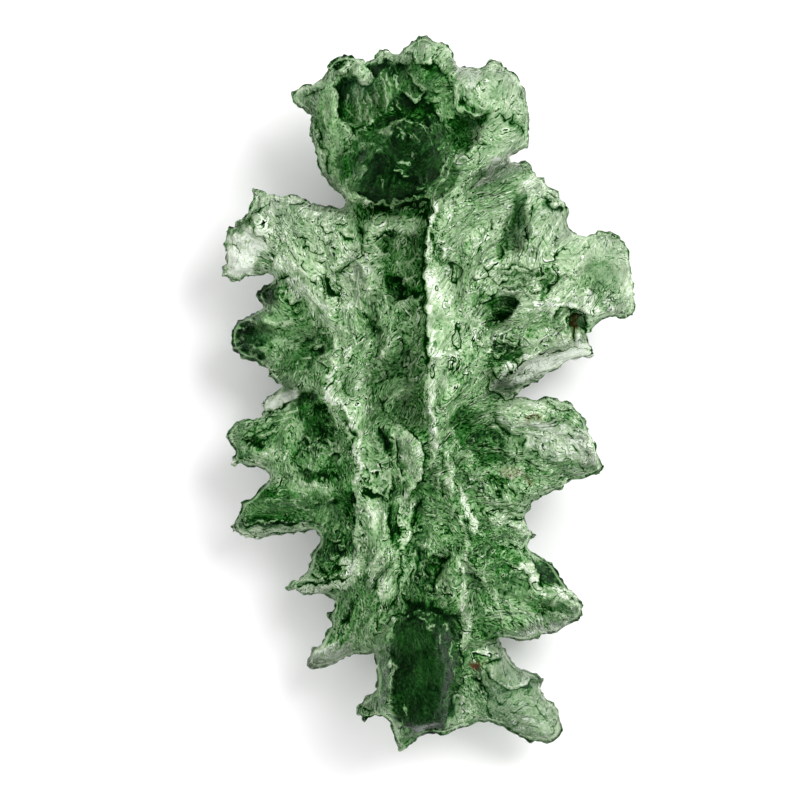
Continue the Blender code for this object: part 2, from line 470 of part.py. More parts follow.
UPPER_CREASES = {
    "right_ridge": Crease(
        path=(
            (0.3, 12.2), (0.4, 11.0), (0.3, 9.5), (0.1, 8.0), (-0.2, 6.6), (0.1, 5.5), (0.3, 4.0),
            (0.2, 2.5), (0.1, 0.5), (0.5, -1.5), (0.6, -3.0), (0.9, -4.4), (1.4, -5.6), (1.9, -7.0),
            (2.4, -8.4), (2.6, -9.6), (3.2, -10.6),
        ),
        height=0.9, width=0.75,
    ),
    "left_ridge": Crease(
        path=(
            (-7.6, 6.6), (-6.6, 5.2), (-6.0, 4.4), (-5.9, 2.5), (-6.2, 0.9), (-5.7, -0.3),
            (-5.0, -1.2), (-4.5, -2.2), (-4.3, -3.2), (-4.4, -4.8), (-4.5, -5.8), (-3.9, -7.2),
            (-3.3, -8.8), (-2.9, -10.2), (-3.0, -11.6), (-2.9, -13.0), (-2.8, -14.6),
        ),
        height=1.0, width=0.7,
    ),
    "left_band": Crease(path=((-4.6, 4.8), (-4.4, 2.4), (-4.6, -0.6)), height=0.6, width=0.8),
    "strand_inner": Crease(
        path=(
            (-3.0, -1.7), (-1.9, -2.1), (-0.9, -2.8), (-0.6, -4.0), (-0.8, -5.3), (-1.5, -6.4),
            (-1.8, -7.8), (-1.6, -9.2),
        ),
        height=0.8, width=0.55,
    ),
    "strand_left": Crease(
        path=((-3.9, -4.0), (-3.8, -5.0), (-3.2, -6.1), (-2.6, -6.9), (-2.4, -8.4)),
        height=0.5, width=0.5,
    ),
    "strand_low": Crease(
        path=((-2.5, -9.6), (-2.0, -10.3), (-2.0, -11.4), (-2.4, -12.6)), height=0.6, width=0.5,
    ),
    "right_low_ridge": Crease(
        path=((1.5, -10.6), (1.9, -12.0), (2.0, -13.6), (2.2, -15.4), (2.1, -17.0)),
        height=0.8, width=0.55,
    ),
    "foot_side_rib": Crease(path=((-2.5, -16.2), (-2.4, -17.6), (-2.6, -18.8)), height=0.5, width=0.4),
    "low_groove": Crease(
        path=((1.1, -9.9), (0.3, -11.0), (-0.2, -12.2), (-1.2, -12.9)), height=-0.9, width=0.6,
    ),
    "trough_step": Crease(path=((-4.2, 10.6), (-2.4, 10.8), (-0.6, 10.7)), height=0.5, width=0.7),
    "trough_strand": Crease(
        path=((-3.7, 9.6), (-3.6, 7.6), (-3.1, 6.0), (-2.4, 4.6), (-2.2, 2.6)), height=0.5, width=0.6,
    ),
    "crown_left_wall": Crease(
        path=((-5.9, 14.2), (-6.2, 16.2), (-6.3, 18.4), (-5.8, 19.7)), height=0.8, width=0.6,
    ),
    "crown_right_rim": Crease(
        path=((1.7, 19.6), (1.65, 18.4), (2.2, 17.8), (3.3, 17.8), (4.4, 18.2)),
        height=0.7, width=0.5,
    ),
    "crown_scales": Crease(
        path=((-1.2, 18.9), (-0.4, 18.2), (0.6, 18.3), (1.3, 17.6)), height=0.6, width=0.5,
    ),
    "boss_brow": Crease(
        path=((-4.4, 15.6), (-3.4, 16.2), (-2.3, 16.3), (-1.4, 16.7), (-0.4, 16.2), (0.3, 15.3)),
        height=0.5, width=0.5,
    ),
    "boss_scar": Crease(path=((-2.9, 15.0), (-4.0, 14.0), (-4.6, 12.8)), height=0.5, width=0.4),
    "boss_dent": Crease(path=((-1.6, 15.3), (-0.6, 14.4)), height=-0.6, width=0.7),
    "boss_shelf": Crease(path=((-3.0, 13.7), (-1.8, 13.9), (-0.6, 13.6)), height=-0.4, width=0.4),
    "fan_split": Crease(path=((2.9, 13.3), (4.2, 14.0), (5.0, 14.6)), height=-1.0, width=0.5),
    "shelf_crack": Crease(path=((3.5, 1.4), (4.1, 0.6), (4.6, 0.0)), height=-1.4, width=0.5),
    "knuckle_high": Crease(path=((-10.2, 5.0), (-11.0, 4.6)), height=0.7, width=0.6),
    "knuckle_end": Crease(path=((-11.8, 4.2), (-11.6, 3.2)), height=0.7, width=0.5),
    "knuckle_low": Crease(path=((-10.6, 3.0), (-10.0, 2.6)), height=0.6, width=0.5),
    "knuckle_gap": Crease(path=((-10.9, 3.9), (-9.8, 3.9)), height=-0.7, width=0.5),
    "left_fan_spine": Crease(
        path=((-6.2, 5.8), (-8.0, 8.2), (-9.6, 9.6), (-10.9, 10.9), (-11.0, 13.0)),
        height=0.6, width=0.6,
    ),
    "left_fan_edge": Crease(path=((-4.7, 11.8), (-4.8, 10.2), (-5.4, 8.6)), height=0.5, width=0.5),
    "left_second_spine": Crease(
        path=((-6.6, -0.1), (-8.6, -0.7), (-10.6, -1.9), (-12.3, -2.3)), height=0.6, width=0.6,
    ),
    "left_third_spine": Crease(
        path=((-5.4, -5.6), (-8.0, -6.0), (-10.4, -6.3), (-11.8, -6.5)), height=0.6, width=0.6,
    ),
    "right_fan_spine": Crease(
        path=((3.0, 8.4), (6.0, 8.3), (8.4, 8.9), (10.4, 9.7)), height=0.6, width=0.6,
    ),
    "right_fan_ripple": Crease(
        path=((5.0, 6.9), (6.6, 6.4), (8.2, 6.0), (9.6, 6.1)), height=0.5, width=0.5,
    ),
    "right_fan_cross": Crease(
        path=((6.4, 13.6), (6.5, 11.6), (6.6, 9.6)), height=0.6, width=0.5,
    ),
    "right_middle_spine": Crease(
        path=((4.6, -1.0), (6.8, -1.2), (8.8, -0.9), (9.9, -1.7), (10.7, -3.6)), height=0.6, width=0.6,
    ),
    "right_middle_fold": Crease(path=((4.8, -3.0), (6.8, -3.2), (8.6, -4.0)), height=0.5, width=0.5),
    "right_low_spine": Crease(
        path=((3.0, -10.4), (4.6, -11.4), (6.0, -12.3), (7.8, -12.2), (9.4, -12.8)),
        height=0.6, width=0.6,
    ),
    "right_low_lip": Crease(path=((4.6, -14.4), (6.6, -14.6), (8.8, -14.0)), height=0.5, width=0.5),
    "foot_fan_loop": Crease(
        path=((3.3, -16.6), (3.8, -17.6), (4.8, -18.2), (5.8, -18.0), (6.5, -17.6)),
        height=0.6, width=0.5,
    ),
    "foot_fan_groove": Crease(path=((2.9, -17.2), (3.4, -18.4), (4.4, -19.6)), height=-0.5, width=0.5),
}

def distance_to(path, points, closed=False):
    """Distance from each point to a path, and the nearest point of the path."""
    ends = np.array(path, float)
    starts = ends if closed else ends[:-1]
    stops = np.roll(ends, -1, axis=0) if closed else ends[1:]
    best = np.full(len(points), np.inf)
    nearest = np.zeros_like(points)
    for a, b in zip(starts, stops):
        run = b - a
        share = np.clip(((points - a) @ run) / (run @ run), 0.0, 1.0)
        foot = a + share[:, None] * run
        gap = np.linalg.norm(points - foot, axis=1)
        closer = gap < best
        best[closer] = gap[closer]
        nearest[closer] = foot[closer]
    return best, nearest


def is_inside(outline, points):
    """True for each point inside a closed outline, by counting crossings to the right."""
    inside = np.zeros(len(points), bool)
    corners = np.array(outline, float)
    for a, b in zip(corners, np.roll(corners, -1, axis=0)):
        spans = (a[1] > points[:, 1]) != (b[1] > points[:, 1])
        if a[1] == b[1]:
            continue
        crossing = a[0] + (points[:, 1] - a[1]) * (b[0] - a[0]) / (b[1] - a[1])
        inside ^= spans & (points[:, 0] < crossing)
    return inside


def depth_inside(outline, points):
    """Distance to the outline, above 0 inside it and below 0 outside, and its nearest point."""
    gap, nearest = distance_to(outline, points, closed=True)
    return np.where(is_inside(outline, points), gap, -gap), nearest


def smooth_step(share):
    share = np.clip(share, 0.0, 1.0)
    return share * share * (3.0 - 2.0 * share)


def ridge_height(crease, points):
    gap, _ = distance_to(crease.path, points)
    return crease.height * np.exp(-((gap / crease.width) ** 2))


def relief_of(creases, hollows, points):
    """How far ridges, grooves and hollows move a face outwards at these points."""
    height = np.zeros(len(points))
    for crease in creases:
        height += ridge_height(crease, points)
    for hollow in hollows:
        depth, _ = depth_inside(hollow.outline, points)
        height -= hollow.depth * smooth_step((depth + hollow.wall / 2) / hollow.wall)
    return height


def limited(relief, room):
    """Relief that fades where the slab is thin and never cuts through it."""
    return np.where(relief < 0, np.maximum(relief, -0.45 * room), relief * np.minimum(room, 1.0))


def slab_faces(lobe, depth, points):
    """Heights of the lobe's upper and lower face at points that lie inside it."""
    root = np.array(lobe.root, float)
    run = np.array(lobe.tip, float) - root
    along = np.clip(((points - root) @ run) / (run @ run), 0.0, 1.0)
    level = lobe.level[0] + (lobe.level[1] - lobe.level[0]) * along
    thick = lobe.thick[0] + (lobe.thick[1] - lobe.thick[0]) * along
    inward = np.clip(depth / lobe.swell, 0.0, 1.0)
    fullness = np.sqrt(1.0 - (1.0 - inward) ** 2)
    half = (lobe.rim + (np.maximum(thick, lobe.rim) - lobe.rim) * fullness) / 2
    return level + half, level - half


def add_lobe(body, lobe):
    """Adds a lobe to the bmesh: a sheet of square cells trimmed to the outline, then thickened."""
    corners = np.array(lobe.outline, float)
    low = corners.min(axis=0) - LAY_SPACING
    columns, rows = np.ceil((corners.max(axis=0) + LAY_SPACING - low) / LAY_SPACING).astype(int) + 1
    grid_x, grid_y = np.meshgrid(
        low[0] + LAY_SPACING * np.arange(columns), low[1] + LAY_SPACING * np.arange(rows)
    )
    points = np.column_stack([grid_x.ravel(), grid_y.ravel()])
    depth, nearest = depth_inside(lobe.outline, points)
    keeps = (depth > -LAY_SPACING / 2).reshape(rows, columns)
    cells = keeps[:-1, :-1] & keeps[1:, :-1] & keeps[:-1, 1:] & keeps[1:, 1:]

    padded = np.pad(cells, 1)
    around = (padded[:-1, :-1], padded[1:, :-1], padded[:-1, 1:], padded[1:, 1:])
    at_edge = ~np.logical_and.reduce(around).ravel()
    points[at_edge] = nearest[at_edge]
    depth[at_edge] = 0.0
    upper, lower = slab_faces(lobe, np.maximum(depth, 0.0), points)
    room = np.maximum(upper - lower - lobe.rim, 0.0)
    keel = Crease(path=(lobe.root, lobe.tip), height=lobe.keel, width=KEEL_WIDTH)
    above = relief_of(UPPER_CREASES.values(), UPPER_HOLLOWS.values(), points)
    below = relief_of([keel, *LOWER_CREASES.values()], LOWER_HOLLOWS.values(), points)
    upper = upper + limited(above, room)
    lower = lower - limited(below, room)

    used = np.logical_or.reduce(around).ravel()
    top = {i: body.verts.new((*points[i], upper[i])) for i in np.flatnonzero(used)}
    base = {i: body.verts.new((*points[i], lower[i])) for i in np.flatnonzero(used)}
    for row, column in zip(*np.nonzero(cells)):
        i = row * columns + column
        ring = (i, i + 1, i + 1 + columns, i + columns)
        body.faces.new([top[k] for k in ring])
        body.faces.new([base[k] for k in reversed(ring)])
        sides = ((row - 1, column), (row, column + 1), (row + 1, column), (row, column - 1))
        for side, (r, c) in enumerate(sides):
            if not padded[r + 1, c + 1]:
                a, b = ring[side], ring[(side + 1) % 4]
                body.faces.new((top[b], top[a], base[a], base[b]))


def evaluated(obj):
    """A new mesh of the object with its modifiers applied."""
    graph = bpy.context.evaluated_depsgraph_get()
    return bpy.data.meshes.new_from_object(obj.evaluated_get(graph))


def vertex_array(mesh, name="co"):
    values = np.empty(len(mesh.vertices) * 3, np.float32)
    mesh.vertices.foreach_get(name, values)
    return values.reshape(-1, 3).astype(float)


def grain_noise(point):
    """Lumps that are long along the grain: up and down the core, and outwards in the fins."""
    outward = min(max((abs(point[0]) - CORE_HALF_WIDTH + 1.0) / 2.0, 0.0), 1.0)
    along = Vector((point[0] / ETCH_WIDTH, point[1] / ETCH_LENGTH, point[2] / ETCH_WIDTH))
    across = Vector((point[0] / ETCH_LENGTH, point[1] / ETCH_WIDTH, point[2] / ETCH_WIDTH))
    lengthwise = noise.fractal(along + NOISE_SEED, 0.8, 2.0, 3)
    sideways = noise.fractal(across - NOISE_SEED, 0.8, 2.0, 3)
    return lengthwise * (1.0 - outward) + sideways * outward


def etch(mesh):
    """Moves the skin in and out along its normals by the grain noise, and makes the fins wave."""
    points = vertex_array(mesh)
    normals = vertex_array(mesh, "normal")
    depths = np.array([grain_noise(p) for p in points]) * ETCH_DEPTH
    waves = np.array([noise.noise(Vector((x, y, 0)) / BUCKLE_LENGTH + NOISE_SEED) for x, y, _ in points])
    moved = points + normals * depths[:, None]
    moved[:, 2] += 2 * BUCKLE * waves * smooth_step(points[:, 2] / BUCKLE_FADE)
    mesh.vertices.foreach_set("co", moved.astype(np.float32).ravel())
    mesh.update()


def fused_body():
    """The lobes as one closed mesh, in millimetres."""
    body = bmesh.new()
    for lobe in LOBES.values():
        add_lobe(body, lobe)
    raw = bpy.data.meshes.new("lobes")
    body.to_mesh(raw)
    body.free()
    obj = bpy.data.objects.new("lobes", raw)
    bpy.context.scene.collection.objects.link(obj)
    fuse = obj.modifiers.new("Fuse", "REMESH")
    fuse.mode = "VOXEL"
    fuse.voxel_size = FUSE_VOXEL
    soften = obj.modifiers.new("Soften", "SMOOTH")
    soften.factor = 0.5
    soften.iterations = SMOOTH_PASSES
    mesh = evaluated(obj)
    bpy.data.objects.remove(obj)
    return mesh


def faceted(mesh):
    """The mesh with its facets reduced to the budget."""
    obj = bpy.data.objects.new("facets", mesh)
    bpy.context.scene.collection.objects.link(obj)
    triangulate = obj.modifiers.new("Triangles", "TRIANGULATE")
    triangulate.keep_custom_normals = False
    reduce = obj.modifiers.new("Reduce", "DECIMATE")
    reduce.ratio = TRIANGLES / (2 * len(mesh.polygons))
    reduce.use_collapse_triangulate = True
    result = evaluated(obj)
    bpy.data.objects.remove(obj)
    return result


def cut_level(mesh):
    """Cuts what reaches below height 0 level, so that the stone rests on true flats, and centres it."""
    shape = bmesh.new()
    shape.from_mesh(mesh)
    everything = shape.verts[:] + shape.edges[:] + shape.faces[:]
    cut = bmesh.ops.bisect_plane(
        shape, geom=everything, dist=1e-4, plane_co=(0, 0, 0), plane_no=(0, 0, -1), clear_outer=True
    )
    rims = [e for e in cut["geom_cut"] if isinstance(e, bmesh.types.BMEdge)]
    flats = bmesh.ops.contextual_create(shape, geom=rims)["faces"]
    bmesh.ops.triangulate(shape, faces=flats)
    corners = np.array([v.co for v in shape.verts])
    centre = (corners.min(axis=0) + corners.max(axis=0)) / 2
    bmesh.ops.translate(shape, verts=shape.verts, vec=(-centre[0], -centre[1], 0))
    bmesh.ops.scale(shape, verts=shape.verts, vec=(MM, MM, MM))
    shape.normal_update()
    shape.to_mesh(mesh)
    shape.free()


def green_glass():
    material = bpy.data.materials.new("green_glass")
    material.use_nodes = True
    shader = material.node_tree.nodes["Principled BSDF"]
    shader.inputs["Base Color"].default_value = GLASS_GREEN
    shader.inputs["Roughness"].default_value = 0.15
    shader.inputs["IOR"].default_value = GLASS_IOR
    shader.inputs["Transmission Weight"].default_value = 0.9
    return material


def main():
    for obj in list(bpy.data.objects):
        bpy.data.objects.remove(obj)
    body = fused_body()
    etch(body)
    stone = faceted(body)
    cut_level(stone)
    stone.name = NODE_NAME
    stone.materials.clear()
    stone.materials.append(green_glass())
    stone.shade_smooth()
    bpy.context.scene.collection.objects.link(bpy.data.objects.new(NODE_NAME, stone))


main()
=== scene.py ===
# %% [markdown]
# # A winged moldavite
#
# A moldavite is natural green glass: rock that splashed up molten, froze in flight and then lay in
# the ground for millions of years, while water etched its skin into ridges, furrows and thin wings.
# The solid model already holds this stone's main shape: a hollowed crown, two thick bosses, a trough
# between two long ridges, and the wings along both sides. This lesson gives it the etched skin and
# the glass. The fixed frame is loaded first, and its box is kept, so that the skin never leaves it.

# %% Load the fixed frame
import time
from dataclasses import dataclass

import bpy
import numpy as np
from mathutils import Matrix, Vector
from mathutils.bvhtree import BVHTree


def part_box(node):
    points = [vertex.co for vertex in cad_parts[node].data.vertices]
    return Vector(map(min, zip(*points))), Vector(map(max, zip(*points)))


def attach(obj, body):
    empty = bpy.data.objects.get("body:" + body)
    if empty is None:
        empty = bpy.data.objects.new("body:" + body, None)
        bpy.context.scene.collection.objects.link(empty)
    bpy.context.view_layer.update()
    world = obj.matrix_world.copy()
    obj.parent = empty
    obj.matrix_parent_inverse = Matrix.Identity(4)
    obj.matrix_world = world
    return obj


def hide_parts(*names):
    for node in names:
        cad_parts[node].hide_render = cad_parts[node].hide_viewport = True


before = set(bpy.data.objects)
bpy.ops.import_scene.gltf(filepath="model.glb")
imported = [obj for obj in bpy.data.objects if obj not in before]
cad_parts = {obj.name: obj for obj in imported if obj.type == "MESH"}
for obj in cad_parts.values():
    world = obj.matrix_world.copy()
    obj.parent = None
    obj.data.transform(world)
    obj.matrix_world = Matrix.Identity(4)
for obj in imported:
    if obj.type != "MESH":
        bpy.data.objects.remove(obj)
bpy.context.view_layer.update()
MM = 0.001
low, high = (np.array(corner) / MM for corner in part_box("moldavite"))
print("solid box", (high - low).round(2), "mm")
began = time.time()


def lap(what):
    print(f"{time.time() - began:6.1f} s  {what}")


# %% [markdown]
# ## Getting points in and out of a mesh
#
# The skin has hundreds of thousands of points, far too many to move one at a time. Blender can hand
# them over as one numpy array and take them back the same way, so every step below works on whole
# arrays, in millimetres. Steps that Blender does best, such as remeshing, stay modifiers: one helper
# puts a list of them on a mesh and returns the result.

# %% Arrays and modifiers
def points_of(mesh):
    values = np.empty(len(mesh.vertices) * 3, np.float32)
    mesh.vertices.foreach_get("co", values)
    return values.reshape(-1, 3).astype(np.float64)


def normals_of(mesh):
    values = np.empty(len(mesh.vertices) * 3, np.float32)
    mesh.vertex_normals.foreach_get("vector", values)
    return values.reshape(-1, 3).astype(np.float64)


def put_points(mesh, points):
    mesh.vertices.foreach_set("co", points.astype(np.float32).ravel())
    mesh.update()


def modified(mesh, *steps, spare=None):
    """The mesh after some modifiers, each given as its type and settings. spare weighs each point."""
    body = bpy.data.objects.new("workpiece", mesh)
    bpy.context.scene.collection.objects.link(body)
    if spare is not None:
        group = body.vertex_groups.new(name="spare")
        for level in np.unique(spare):
            group.add(np.flatnonzero(spare == level).tolist(), float(level), "REPLACE")
    for kind, settings in steps:
        modifier = body.modifiers.new(kind.title(), kind)
        for key, value in settings.items():
            setattr(modifier, key, value)
    graph = bpy.context.evaluated_depsgraph_get()
    result = bpy.data.meshes.new_from_object(body.evaluated_get(graph))
    bpy.data.objects.remove(body)
    return result


# %% [markdown]
# ## A fine skin over the plain solid
#
# The solid is made of nearly ten thousand flat triangles. A voxel remesh wraps it in a dense, even
# net of small squares, and a little smoothing takes the flat facets out. Subdivision alone would
# keep the solid's long thin triangles, which pinch when they are pushed about. An even net doesn't.

# %% Wrap the solid in a dense net
SKIN_VOXEL = 0.12

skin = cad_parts["moldavite"].data.copy()
put_points(skin, points_of(skin) / MM)
skin = modified(
    skin,
    ("WELD", {"merge_threshold": 1e-4}),
    ("SUBSURF", {"levels": 1, "render_levels": 1}),
    ("REMESH", {"mode": "VOXEL", "voxel_size": SKIN_VOXEL}),
    ("SMOOTH", {"factor": 0.5, "iterations": 6}),
)
points, normals = points_of(skin), normals_of(skin)
lap(f"the net has {len(points)} points")

# %% [markdown]
# ## How thick the glass is
#
# The wings are hardly half a millimetre thick at their rims. Before anything is carved, a ray goes
# from each point straight into the glass until it comes out, which gives the wall there. Carving is
# then held to a share of the wall, so that no furrow on the top meets one on the underside.

# %% Measure the wall under each point
DEEPEST = 12.0
JUST_UNDER = 0.02


def walls_of(mesh, points, normals):
    tree = BVHTree.FromPolygons(points.tolist(), [tuple(face.vertices) for face in mesh.polygons])
    walls = np.full(len(points), DEEPEST)
    for index, (point, normal) in enumerate(zip(points, normals)):
        length = tree.ray_cast(Vector(point - JUST_UNDER * normal), Vector(-normal), DEEPEST)[3]
        if length is not None:
            walls[index] = length
    return walls


walls = walls_of(skin, points, normals)
lap(f"walls from {np.percentile(walls, 5):.2f} to {np.percentile(walls, 95):.2f} mm")

# %% [markdown]
# ## A sculpting map
#
# The stone lies flat, so nearly all that is carved on it can be drawn on a map seen from above: a
# grid of numbers, each square a twentieth of a millimetre. Soft random lumps, made by blurring
# plain noise, are the raw stuff of everything natural here.

# %% The grid, blurring and soft noise
CELL = 0.05
MARGIN = 1.0
SIGMAS_WIDE = 2.355  # how wide a bell curve is at half its height
BELL_AREA = 2.5  # and the area under one that is 1 high, both for a sigma of 1

columns = np.arange(low[0] - MARGIN, high[0] + MARGIN, CELL)
rows = np.arange(low[1] - MARGIN, high[1] + MARGIN, CELL)
X, Y = np.meshgrid(columns, rows)


def blurred(field, width):
    """The field with each square spread over a soft spot this many millimetres wide."""
    sigma = width / CELL / SIGMAS_WIDE
    across = np.fft.rfftfreq(field.shape[1])[None, :]
    along = np.fft.fftfreq(field.shape[0])[:, None]
    spread = np.exp(-2 * (np.pi * sigma) ** 2 * (across**2 + along**2))
    return np.fft.irfft2(np.fft.rfft2(field) * spread, field.shape)


def levelled(field):
    return (field - field.mean()) / field.std()


def cloud(width, seed):
    """Soft lumps of this width in millimetres, with mean 0 and spread 1."""
    return levelled(blurred(np.random.default_rng(seed).standard_normal(X.shape), width))


def ramp(value, start, end):
    """0 before start, 1 after end, and a soft S between them."""
    share = np.clip((value - start) / (end - start), 0, 1)
    return share * share * (3 - 2 * share)


def read(field, x, y):
    """The field's values at points of the plane, blended between its squares."""
    column = np.clip((x - columns[0]) / CELL, 0, field.shape[1] - 1.001)
    row = np.clip((y - rows[0]) / CELL, 0, field.shape[0] - 1.001)
    left, below = column.astype(int), row.astype(int)
    u, v = column - left, row - below
    lower = field[below, left] * (1 - u) + field[below, left + 1] * u
    upper = field[below + 1, left] * (1 - u) + field[below + 1, left + 1] * u
    return lower * (1 - v) + upper * v


print("map of", X.shape, "squares")

# %% [markdown]
# Two things about the solid are wanted on the map as well: how thick the stone is under each square,
# and how far each square lies inside the outline. Rays shot straight down and straight up find the
# top and the bottom. A blurred mask of the hits passes one half exactly on the outline and changes
# evenly near it, so it can serve as a ruler there.

# %% Thickness and distance to the outline
SKIPPED = 2
OVERHEAD, UNDERGROUND = 20.0, -1.0


def thickness_of(mesh, points):
    """How thick the mesh is under each square, 0 outside it."""
    tree = BVHTree.FromPolygons(points.tolist(), [tuple(face.vertices) for face in mesh.polygons])
    coarse = np.zeros((len(rows[::SKIPPED]), len(columns[::SKIPPED])))
    for row, y in enumerate(rows[::SKIPPED]):
        for column, x in enumerate(columns[::SKIPPED]):
            top = tree.ray_cast(Vector((x, y, OVERHEAD)), Vector((0, 0, -1)))[0]
            if top is not None:
                bottom = tree.ray_cast(Vector((x, y, UNDERGROUND)), Vector((0, 0, 1)))[0]
                coarse[row, column] = top.z - bottom.z
    fine = coarse.repeat(SKIPPED, axis=0).repeat(SKIPPED, axis=1)
    return fine[: X.shape[0], : X.shape[1]]


def inset_of(thickness, width=0.6):
    """Distance inside the outline in millimetres, true up to about half the width."""
    return BELL_AREA * (width / SIGMAS_WIDE) * (blurred(thickness > 0, width) - 0.5)


thickness = thickness_of(skin, points)
inset = inset_of(thickness, 1.6)
lap(f"outline found, {(thickness > 0).sum() * CELL**2:.0f} mm2 seen from above")

# %% [markdown]
# ## The grain
#
# Etching follows the way the melt flowed: outward along each wing, lengthwise in the trough and on
# the ridges. A few dozen arrows say how the grain runs where they stand. A line that points left
# and one that points right are the same grain, so the arrows are blended by their doubled angle,
# which makes those two equal. Two soft clouds then bend the grain a little.

# %% Arrows for the grain
@dataclass
class Flow:
    """How the grain runs around a place: degrees from +X, and how far the word holds, in mm."""

    x: float
    y: float
    heading: float
    reach: float = 1.6


FLOWS = [
    # the crown, from its left tip over the wall to the right lobe
    Flow(-7.6, 19.9, 160, 1.0), Flow(-6.5, 17.0, 105), Flow(-3.5, 18.5, 98), Flow(0.0, 19.0, 80),
    Flow(0.3, 21.2, 72, 1.2), Flow(4.8, 18.5, 52), Flow(6.2, 16.5, 35), Flow(3.5, 14.3, 28, 1.2),
    Flow(2.0, 13.0, 75), Flow(-2.0, 14.5, 60, 2.5),
    # the left top fan and the knuckle
    Flow(-8.0, 10.0, 112), Flow(-10.3, 9.0, 132, 1.2), Flow(-12.0, 9.0, 165, 1.2),
    Flow(-11.0, 12.0, 112, 1.0), Flow(-6.5, 6.0, 125), Flow(-5.5, 9.5, 130), Flow(-9.3, 11.9, 155, 1.0),
    Flow(-9.0, 6.3, 150, 1.2), Flow(-11.3, 4.2, 150, 1.3), Flow(-8.5, 1.6, 34),
    # the left ridge, the trough and the right ridge
    Flow(-5.7, 3.0, 82, 1.2), Flow(-4.7, 0.3, 78, 1.2), Flow(-4.4, -3.5, 95, 1.2), Flow(-3.6, -7.5, 106),
    Flow(-3.0, -11.0, 72, 1.2), Flow(-2.8, 9.0, 95), Flow(-2.2, 4.0, 66), Flow(-2.0, 0.0, 80),
    Flow(-1.5, -4.5, 100), Flow(-0.8, -9.5, 84), Flow(0.4, 9.0, 88, 1.0), Flow(0.3, 5.0, 90, 1.0),
    Flow(0.6, -2.0, 97, 1.0), Flow(2.3, -8.0, 110, 1.2), Flow(2.6, -11.0, 128, 1.0),
    Flow(2.0, -14.0, 94, 1.0),
    # the right fans, the shelf and the ear
    Flow(3.0, 9.0, 62), Flow(5.0, 11.0, 56), Flow(8.0, 11.3, 40), Flow(8.0, 8.5, 30, 1.3),
    Flow(10.5, 8.0, 42, 1.3), Flow(11.8, 5.8, 84, 1.2), Flow(8.3, 6.3, 20, 1.2), Flow(5.5, 7.0, 6, 1.3),
    Flow(3.3, 5.0, 40, 1.3), Flow(6.0, 2.7, 12, 1.2), Flow(9.0, 3.4, 10, 1.2), Flow(2.3, 1.5, 65, 1.3),
    Flow(4.0, -1.0, 5), Flow(8.0, -1.5, -16), Flow(9.7, -4.0, -40, 1.3), Flow(6.0, -5.0, -18),
    # the tooth and the low right arm
    Flow(5.0, -7.6, -14, 1.2), Flow(6.3, -11.0, -35), Flow(8.6, -13.0, -32, 1.2), Flow(4.4, -12.5, -45, 1.2),
    # the left arms
    Flow(-10.5, -1.5, 28, 1.5), Flow(-7.0, -2.0, 100, 1.2), Flow(-10.0, -3.8, 170, 1.0),
    Flow(-7.0, -4.6, 4, 1.0), Flow(-9.3, -6.6, 14), Flow(-10.5, -8.7, 176, 1.0),
    Flow(-6.4, -7.2, 30, 1.2), Flow(-6.8, -10.5, 58, 1.3),
    Flow(-7.0, -12.1, 20, 0.9), Flow(-5.4, -14.0, 64), Flow(-6.6, -16.3, 28, 1.2),
    # the foot
    Flow(-0.5, -17.0, 90, 2.0), Flow(4.5, -18.5, 130), Flow(7.2, -20.0, 142, 1.3), Flow(0.6, -21.8, 100, 1.0),
]


def grain_heading():
    cosine, sine = np.zeros(X.shape), np.zeros(X.shape)
    for flow in FLOWS:
        weight = np.exp(-((X - flow.x) ** 2 + (Y - flow.y) ** 2) / (2 * flow.reach**2)) + 1e-6
        cosine += weight * np.cos(2 * np.radians(flow.heading))
        sine += weight * np.sin(2 * np.radians(flow.heading))
    return 0.5 * np.arctan2(sine, cosine)


heading = grain_heading() + 0.2 * cloud(2.2, 11) + 0.15 * cloud(0.8, 12)
lap(f"{len(FLOWS)} arrows laid")

# %% [markdown]
# ## Furrows along the grain
#
# To turn lumps into furrows, each square takes the mean of what a walk along the grain meets. Along
# the walk the lumps melt into one another, across it they stay apart, so streaks remain that bend
# wherever the grain bends. This is the line integral that maps of wind are drawn with.

# %% Draw noise out along the grain
PACE = 2.0


def drawn_out(field, length):
    """Each square averaged along the grain over this many millimetres."""
    place = np.mgrid[0 : X.shape[0], 0 : X.shape[1]].astype(float)
    last = np.array(X.shape)[:, None, None] - 1
    total, count = field.copy(), 1
    for way in (1, -1):
        at = place.copy()
        ahead = way * np.array([np.sin(heading), np.cos(heading)])
        for _ in range(int(length / 2 / CELL / PACE)):
            at = np.clip(at + PACE * ahead, 0, last)
            here = tuple(at.round().astype(int))
            onward = np.array([np.sin(heading[here]), np.cos(heading[here])])
            ahead = np.where((onward * ahead).sum(axis=0) < 0, -onward, onward)
            total += field[here]
            count += 1
    return total / count


def furrows(width, length, seed):
    return levelled(drawn_out(cloud(width, seed), length))


hair = furrows(0.14, 1.0, 21)
furrow = furrows(0.30, 1.8, 22)
fold = furrows(0.75, 3.5, 23)
lap("three widths of furrow drawn")

# %% [markdown]
# ## Carving tools
#
# A natural surface isn't only noise: this stone is known by its own ridges, lips and pits, and those
# are drawn one by one. Every tool takes a path of a few points, runs a smooth curve through them and
# changes the map near it. A rib is raised, a crease is cut, and a ledge is a step whose high side
# lies to the left of the path, or to the right where the path is turned round with [::-1]. The
# curves are read on a slightly warped map, so that no line is ruler-smooth, and a wear map makes
# each ridge higher here and lower there. The tools also keep a shading map of painted light and
# shade: a painted highlight along each raised rim and lip, and painted shade in each cut and at
# the foot of each step.

# %% A smooth curve through a few points
STEP = 0.06


